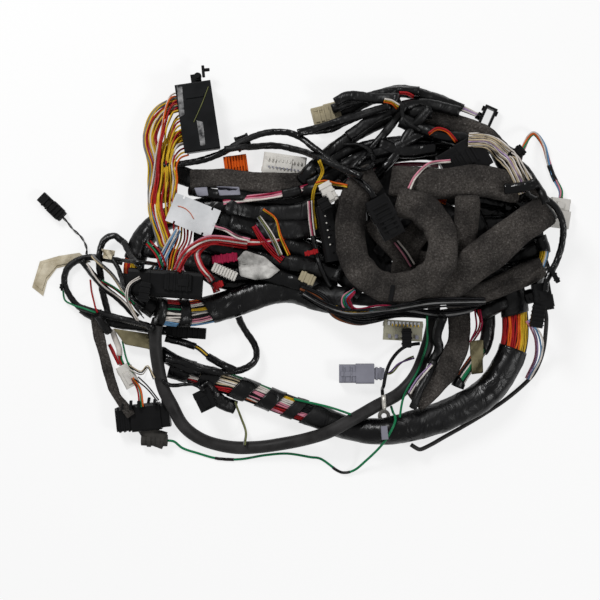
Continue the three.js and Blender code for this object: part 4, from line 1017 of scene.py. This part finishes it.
for k, colour in enumerate(["pink", "green", "blue", "red", "maroon"]):
    strands("colour_loop_" + colour, colour, [
        (68, 14 - k), (53 + 2 * k, 4 - k), (53 + 2 * k, -8 + 2 * k), (68, -18 + 2 * k), (98, -15 + 2 * k), (120, -8),
    ], jitter=0.5)
strands("rope_bit", "orange yellow", "44,-9 62,-17 86,-15", 4)
strands("rope_wires", "black black grey black black", "4,8 30,-7 60,-16 110,-12 160,-4 228,-2", 11)
strands("left_white_wire", "white", "-268,46 -250,20 -225,0 -200,-25")
strands("left_beige_wire", "beige grey", "-262,56 -240,34 -222,8 -202,-20", 4)
strands("left_green_wire", "green", "-301,13 -298,0 -288,-6 -272,-10 -256,-16")
strands("left_red_green", "red green", "-248,24 -235,16 -222,6 -208,-6", 4)
strands("left_red_wire", "red", "-266,26 -264,10 -254,-16")
strands("left_white_arc", "white white black", "-196,27 -208,19 -211,5 -208,-10 -200,-24", 7, radius=0.8)
strands("drop_red", "red red", "-242,-56 -236,-68 -230,-82", 4)
strands("drop_green", "green", "-226,-52 -220,-72 -210,-92")
strands("corner_wires", "red green orange", "-211,-98 -203,-112 -199,-134", (4, 8))
strands("corner_thin", "black black", "-206,-98 -194,-110 -180,-128", 5, radius=0.9)
strands("corner_curl", "white black beige", "-216,-84 -200,-92 -192,-84 -182,-98", 6, radius=0.8)
strands("wedge_pair", "grey olive", "-82,-128 -74,-150 -68,-168 -70,-182", 2.5)
strands("trunk_green", "green", "-8,-124 25,-132 62,-142", radius=1.5)
strands("block_stray", "olive", "-114,266 -122,246 -133,222", radius=0.5)
strands("maroon_ribbon", "maroon red maroon", "222,-12 225,-35 216,-54", 8, ceiling=OPEN)
strands("label_mark", "orange", "-152,117 -144,115 -137,109 -132,101", radius=0.5)

# Small parts

small_part("small_white_plug", (35, 133), -62, (26, 17, 11), WHITE, 3, True)
small_part("small_black_plug", (30, 118), -62, (16, 15, 12), BLACK, 2)
small_part("beige_plug", (9, 27), -24, (20, 14, 9), BEIGE, 2)
small_part("red_plug", (14, 59), 14, (17, 7, 7), WIRES["red"], 2, slot="orange_plastic")
small_part("dark_red_plug", (-94, 52), 8, (32, 12, 12), WIRES["maroon"], 4, slot="black_plastic")
small_part("ribbed_strip", (-94, 35), -24, (32, 13, 6), WHITE, 8)
small_part("red_plug_small", (-102, 19), 20, (13, 9, 7), WIRES["red"], 2, slot="orange_plastic")
small_part("top_right_plug", (268, 181), 40, (20, 15, 13), BLACK, 3, True, ceiling=HIGH)
small_part("ribbed_right_plug", (292, -20), 80, (28, 17, 11), BLACK, 5)
small_part("stick_clip", (311, 31), -60, (22, 7, 7), BLACK, 3)
small_part("cone_clip", (132, -47), 90, (24, 13, 10), BLACK, 3)
barrel = Build()
barrel.tube(settle("105,-120 105,-128 105.5,-137", 2.6 * MM, 2.6 * MM, sag=0.6 * MM).p, 2.6 * MM, TIN, 12)
barrel.finish("lug_barrel", "tin")
small_part("ring_plate", (105, -165), 95, (17, 10, 3), GREY, 0)
small_part("green_end", (-301, 16), 100, (9, 4.5, 4), BLACK, 1)
small_part("coil_tie", (111, 8), 80, (20, 7, 3), BLACK, 0)
small_part("shroud_latch", (-150, 22), -4, (34, 22, 5), BLACK, 4, True)
small_part("shroud_side", (-190, 10), 80, (24, 14, 12), BLACK, 3)


def ribs_on(name, node, yaw, count, pitch, size, material, shift=(0, 0), slot=None):
    """A row of ribs on a connector's top, across its length."""
    place = (centre(node) - layout) / MM
    at = shifted((place.x, place.y), yaw, *shift)
    bottom = rest_on(at, yaw, pitch * count, size[1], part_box(node)[1][2] + 0.5 * MM) - 0.3 * MM
    build = Build()
    for k in range(count):
        build.slab(shifted(at, yaw, (k - (count - 1) / 2) * pitch), yaw, size, material, bottom, 0.3 * MM)
    build.finish(name, slot or SLOT_OF[material], smooth=False)


build = Build()
build.slab((-121.5, 287), 95, (15, 3.6, 5), BLACK, 19 * MM)
build.slab((-117, 289), 5, (7, 4, 4), BLACK, 19.5 * MM)
build.finish("block_hook", "black_plastic", smooth=False)
ribs_on("orange_ribs", "orange_plug", 8, 7, 3.6, (1.6, 21, 1.8), ORANGE)
ribs_on("white_wide_ribs", "white_wide_plug", -8, 10, 4.6, (2.2, 4, 1.2), WHITE, (0, 5))
# Grey strips for the white plug's slots: painted shade where the slot openings are dark.
ribs_on("white_wide_slot_shade", "white_wide_plug", -8, 9, 4.6, (2.0, 2.6, 0.6), GREY, (0, -4.5))
ribs_on("clear_cells", "clear_plug", -3, 9, 4.6, (3.2, 5, 1.6), CARD, (0, 8.5))
ribs_on("clear_pins", "clear_plug", -3, 8, 4.6, (1.4, 3, 2.4), WIRES["yellow"], (2, 6.5), slot="white_plastic")
ribs_on("clear_tabs", "clear_plug", -3, 5, 8.5, (4.0, 5, 1.2), GREY, (0, -7.5))
ribs_on("centre_ribs", "centre_plug", -62, 6, 6.0, (2.4, 20, 1.4), BLACK)
ribs_on("upper_ribs", "upper_block", 30, 5, 7.0, (3.0, 18, 2.0), BLACK)
ribs_on("long_plug_dots", "long_plug", 100, 5, 9.0, (1.8, 1.8, 0.8), WHITE, (4, 3))
ribs_on("sensor_ribs", "sensor_plug", 136, 4, 6.5, (2.4, 15, 1.6), BLACK)
ribs_on("grey_ribs", "grey_plug", 0, 2, 9.0, (1.4, 19, 0.9), GREY, (-18, 0))
ribs_on("floor_plug_ribs", "floor_plug", -4, 6, 6.5, (2.2, 14, 1.2), BLACK)
ribs_on("top_plug_ribs", "top_plug", 14, 4, 6.0, (2.0, 22, 1.2), BEIGE)
for k in range(6):
    small_part("corner_tab_%d" % k, (-222 + 10 * k, -133 + 1.2 * k), 80 + 6 * (k % 3), (9 + 3 * (k % 2), 5, 9), BLACK,
               ceiling=UNDER)
scrap("paper_tag", "-78,52 -69,62 -44,54 -25,37 -38,27 -56,25 -75,30", PAPER, 0.6, 2.4)
scrap("olive_sleeve", "-235,-36 -221,-56 -185,-63 -181,-44", OLIVE, 2.4, 1.0, UNDER)
scrap("tape_bit", "-248,64 -232,62 -234,50 -246,52", MASKING, 0.6, 1.0)
scrap("olive_piece", "214,-52 230,-50 231,-92 216,-94", OLIVE, 2.0, 1.0)
scrap("grey_plate_a", "-104,142 -76,141 -74,131 -100,130", GREY, 1.2, 0.4)
scrap("grey_plate_b", "-132,140 -116,141 -114,130 -128,129", GREY, 1.2, 0.4)
# Painted highlights: two thin pale strips laid over the dark junction block.
scrap("block_smear_a", "-154,268 -147,266 -144,231 -150,228", PAINTED_HIGHLIGHT, 0.15, 0.1)
scrap("block_smear_b", "-129,224 -121,222 -118,193 -124,192", PAINTED_HIGHLIGHT, 0.15, 0.1)

# Floor and light

FLOOR_HALF = 6
FLOOR_COLOUR = 0.9
GLOW_SHARE = 0.75       # of the floor as it is seen, so that it looks white but keeps its shadow
WORLD_LIGHT = 0.36      # of the white that is seen round it


def by_ray(tree, kinds, high, low=0.0):
    """A value that is high for rays of these kinds and low for all others."""
    path = tree.nodes.new("ShaderNodeLightPath")
    value = path.outputs[kinds[0]]
    for kind in kinds[1:]:
        either = add_node(tree, "ShaderNodeMath", operation="MAXIMUM")
        tree.links.new(value, either.inputs[0])
        tree.links.new(path.outputs[kind], either.inputs[1])
        value = either.outputs[0]
    node = add_node(tree, "ShaderNodeMapRange", **{"To Min": low, "To Max": high})
    tree.links.new(value, node.inputs["Value"])
    return node.outputs["Result"]


floor_mesh = bpy.data.meshes.new("floor")
rim = [(x * FLOOR_HALF, y * FLOOR_HALF, 0) for x, y in ((-1, -1), (1, -1), (1, 1), (-1, 1))]
floor_mesh.from_pydata(rim, [], [(0, 1, 2, 3)])
floor = bpy.data.objects.new("floor", floor_mesh)
bpy.context.scene.collection.objects.link(floor)
floor_material, tree, shader = new_material("floor")
shader.inputs["Base Color"].default_value = (FLOOR_COLOUR, FLOOR_COLOUR, FLOOR_COLOUR, 1)
shader.inputs["Roughness"].default_value = 0.9
glow = add_node(tree, "ShaderNodeEmission", Color=(1, 1, 1, 1), Strength=1.0)
share = by_ray(tree, ("Is Camera Ray", "Is Glossy Ray", "Is Transmission Ray"), GLOW_SHARE)
blend = tree.nodes.new("ShaderNodeMixShader")
tree.links.new(share, blend.inputs["Fac"])
tree.links.new(shader.outputs["BSDF"], blend.inputs[1])
tree.links.new(glow.outputs["Emission"], blend.inputs[2])
tree.links.new(blend.outputs["Shader"], tree.nodes["Material Output"].inputs["Surface"])
floor_mesh.materials.append(floor_material)

for name, place, size, power in (("key", (-0.9, 1.3, 1.6), 0.6, 30), ("fill", (1.5, -0.7, 1.5), 0.5, 13)):
    lamp = bpy.data.lights.new(name, "AREA")
    lamp.shape = "SQUARE"
    lamp.size = size
    lamp.energy = power
    light = bpy.data.objects.new(name, lamp)
    light.location = place
    light.rotation_euler = (-Vector(place)).to_track_quat("-Z", "Y").to_euler()
    bpy.context.scene.collection.objects.link(light)

world = bpy.data.worlds.new("studio")
world.use_nodes = True
background = world.node_tree.nodes["Background"]
background.inputs["Color"].default_value = (1, 1, 1, 1)
world.node_tree.links.new(by_ray(world.node_tree, ["Is Camera Ray"], 1.0, WORLD_LIGHT), background.inputs["Strength"])
bpy.context.scene.world = world
bpy.context.scene.view_settings.view_transform = "Standard"
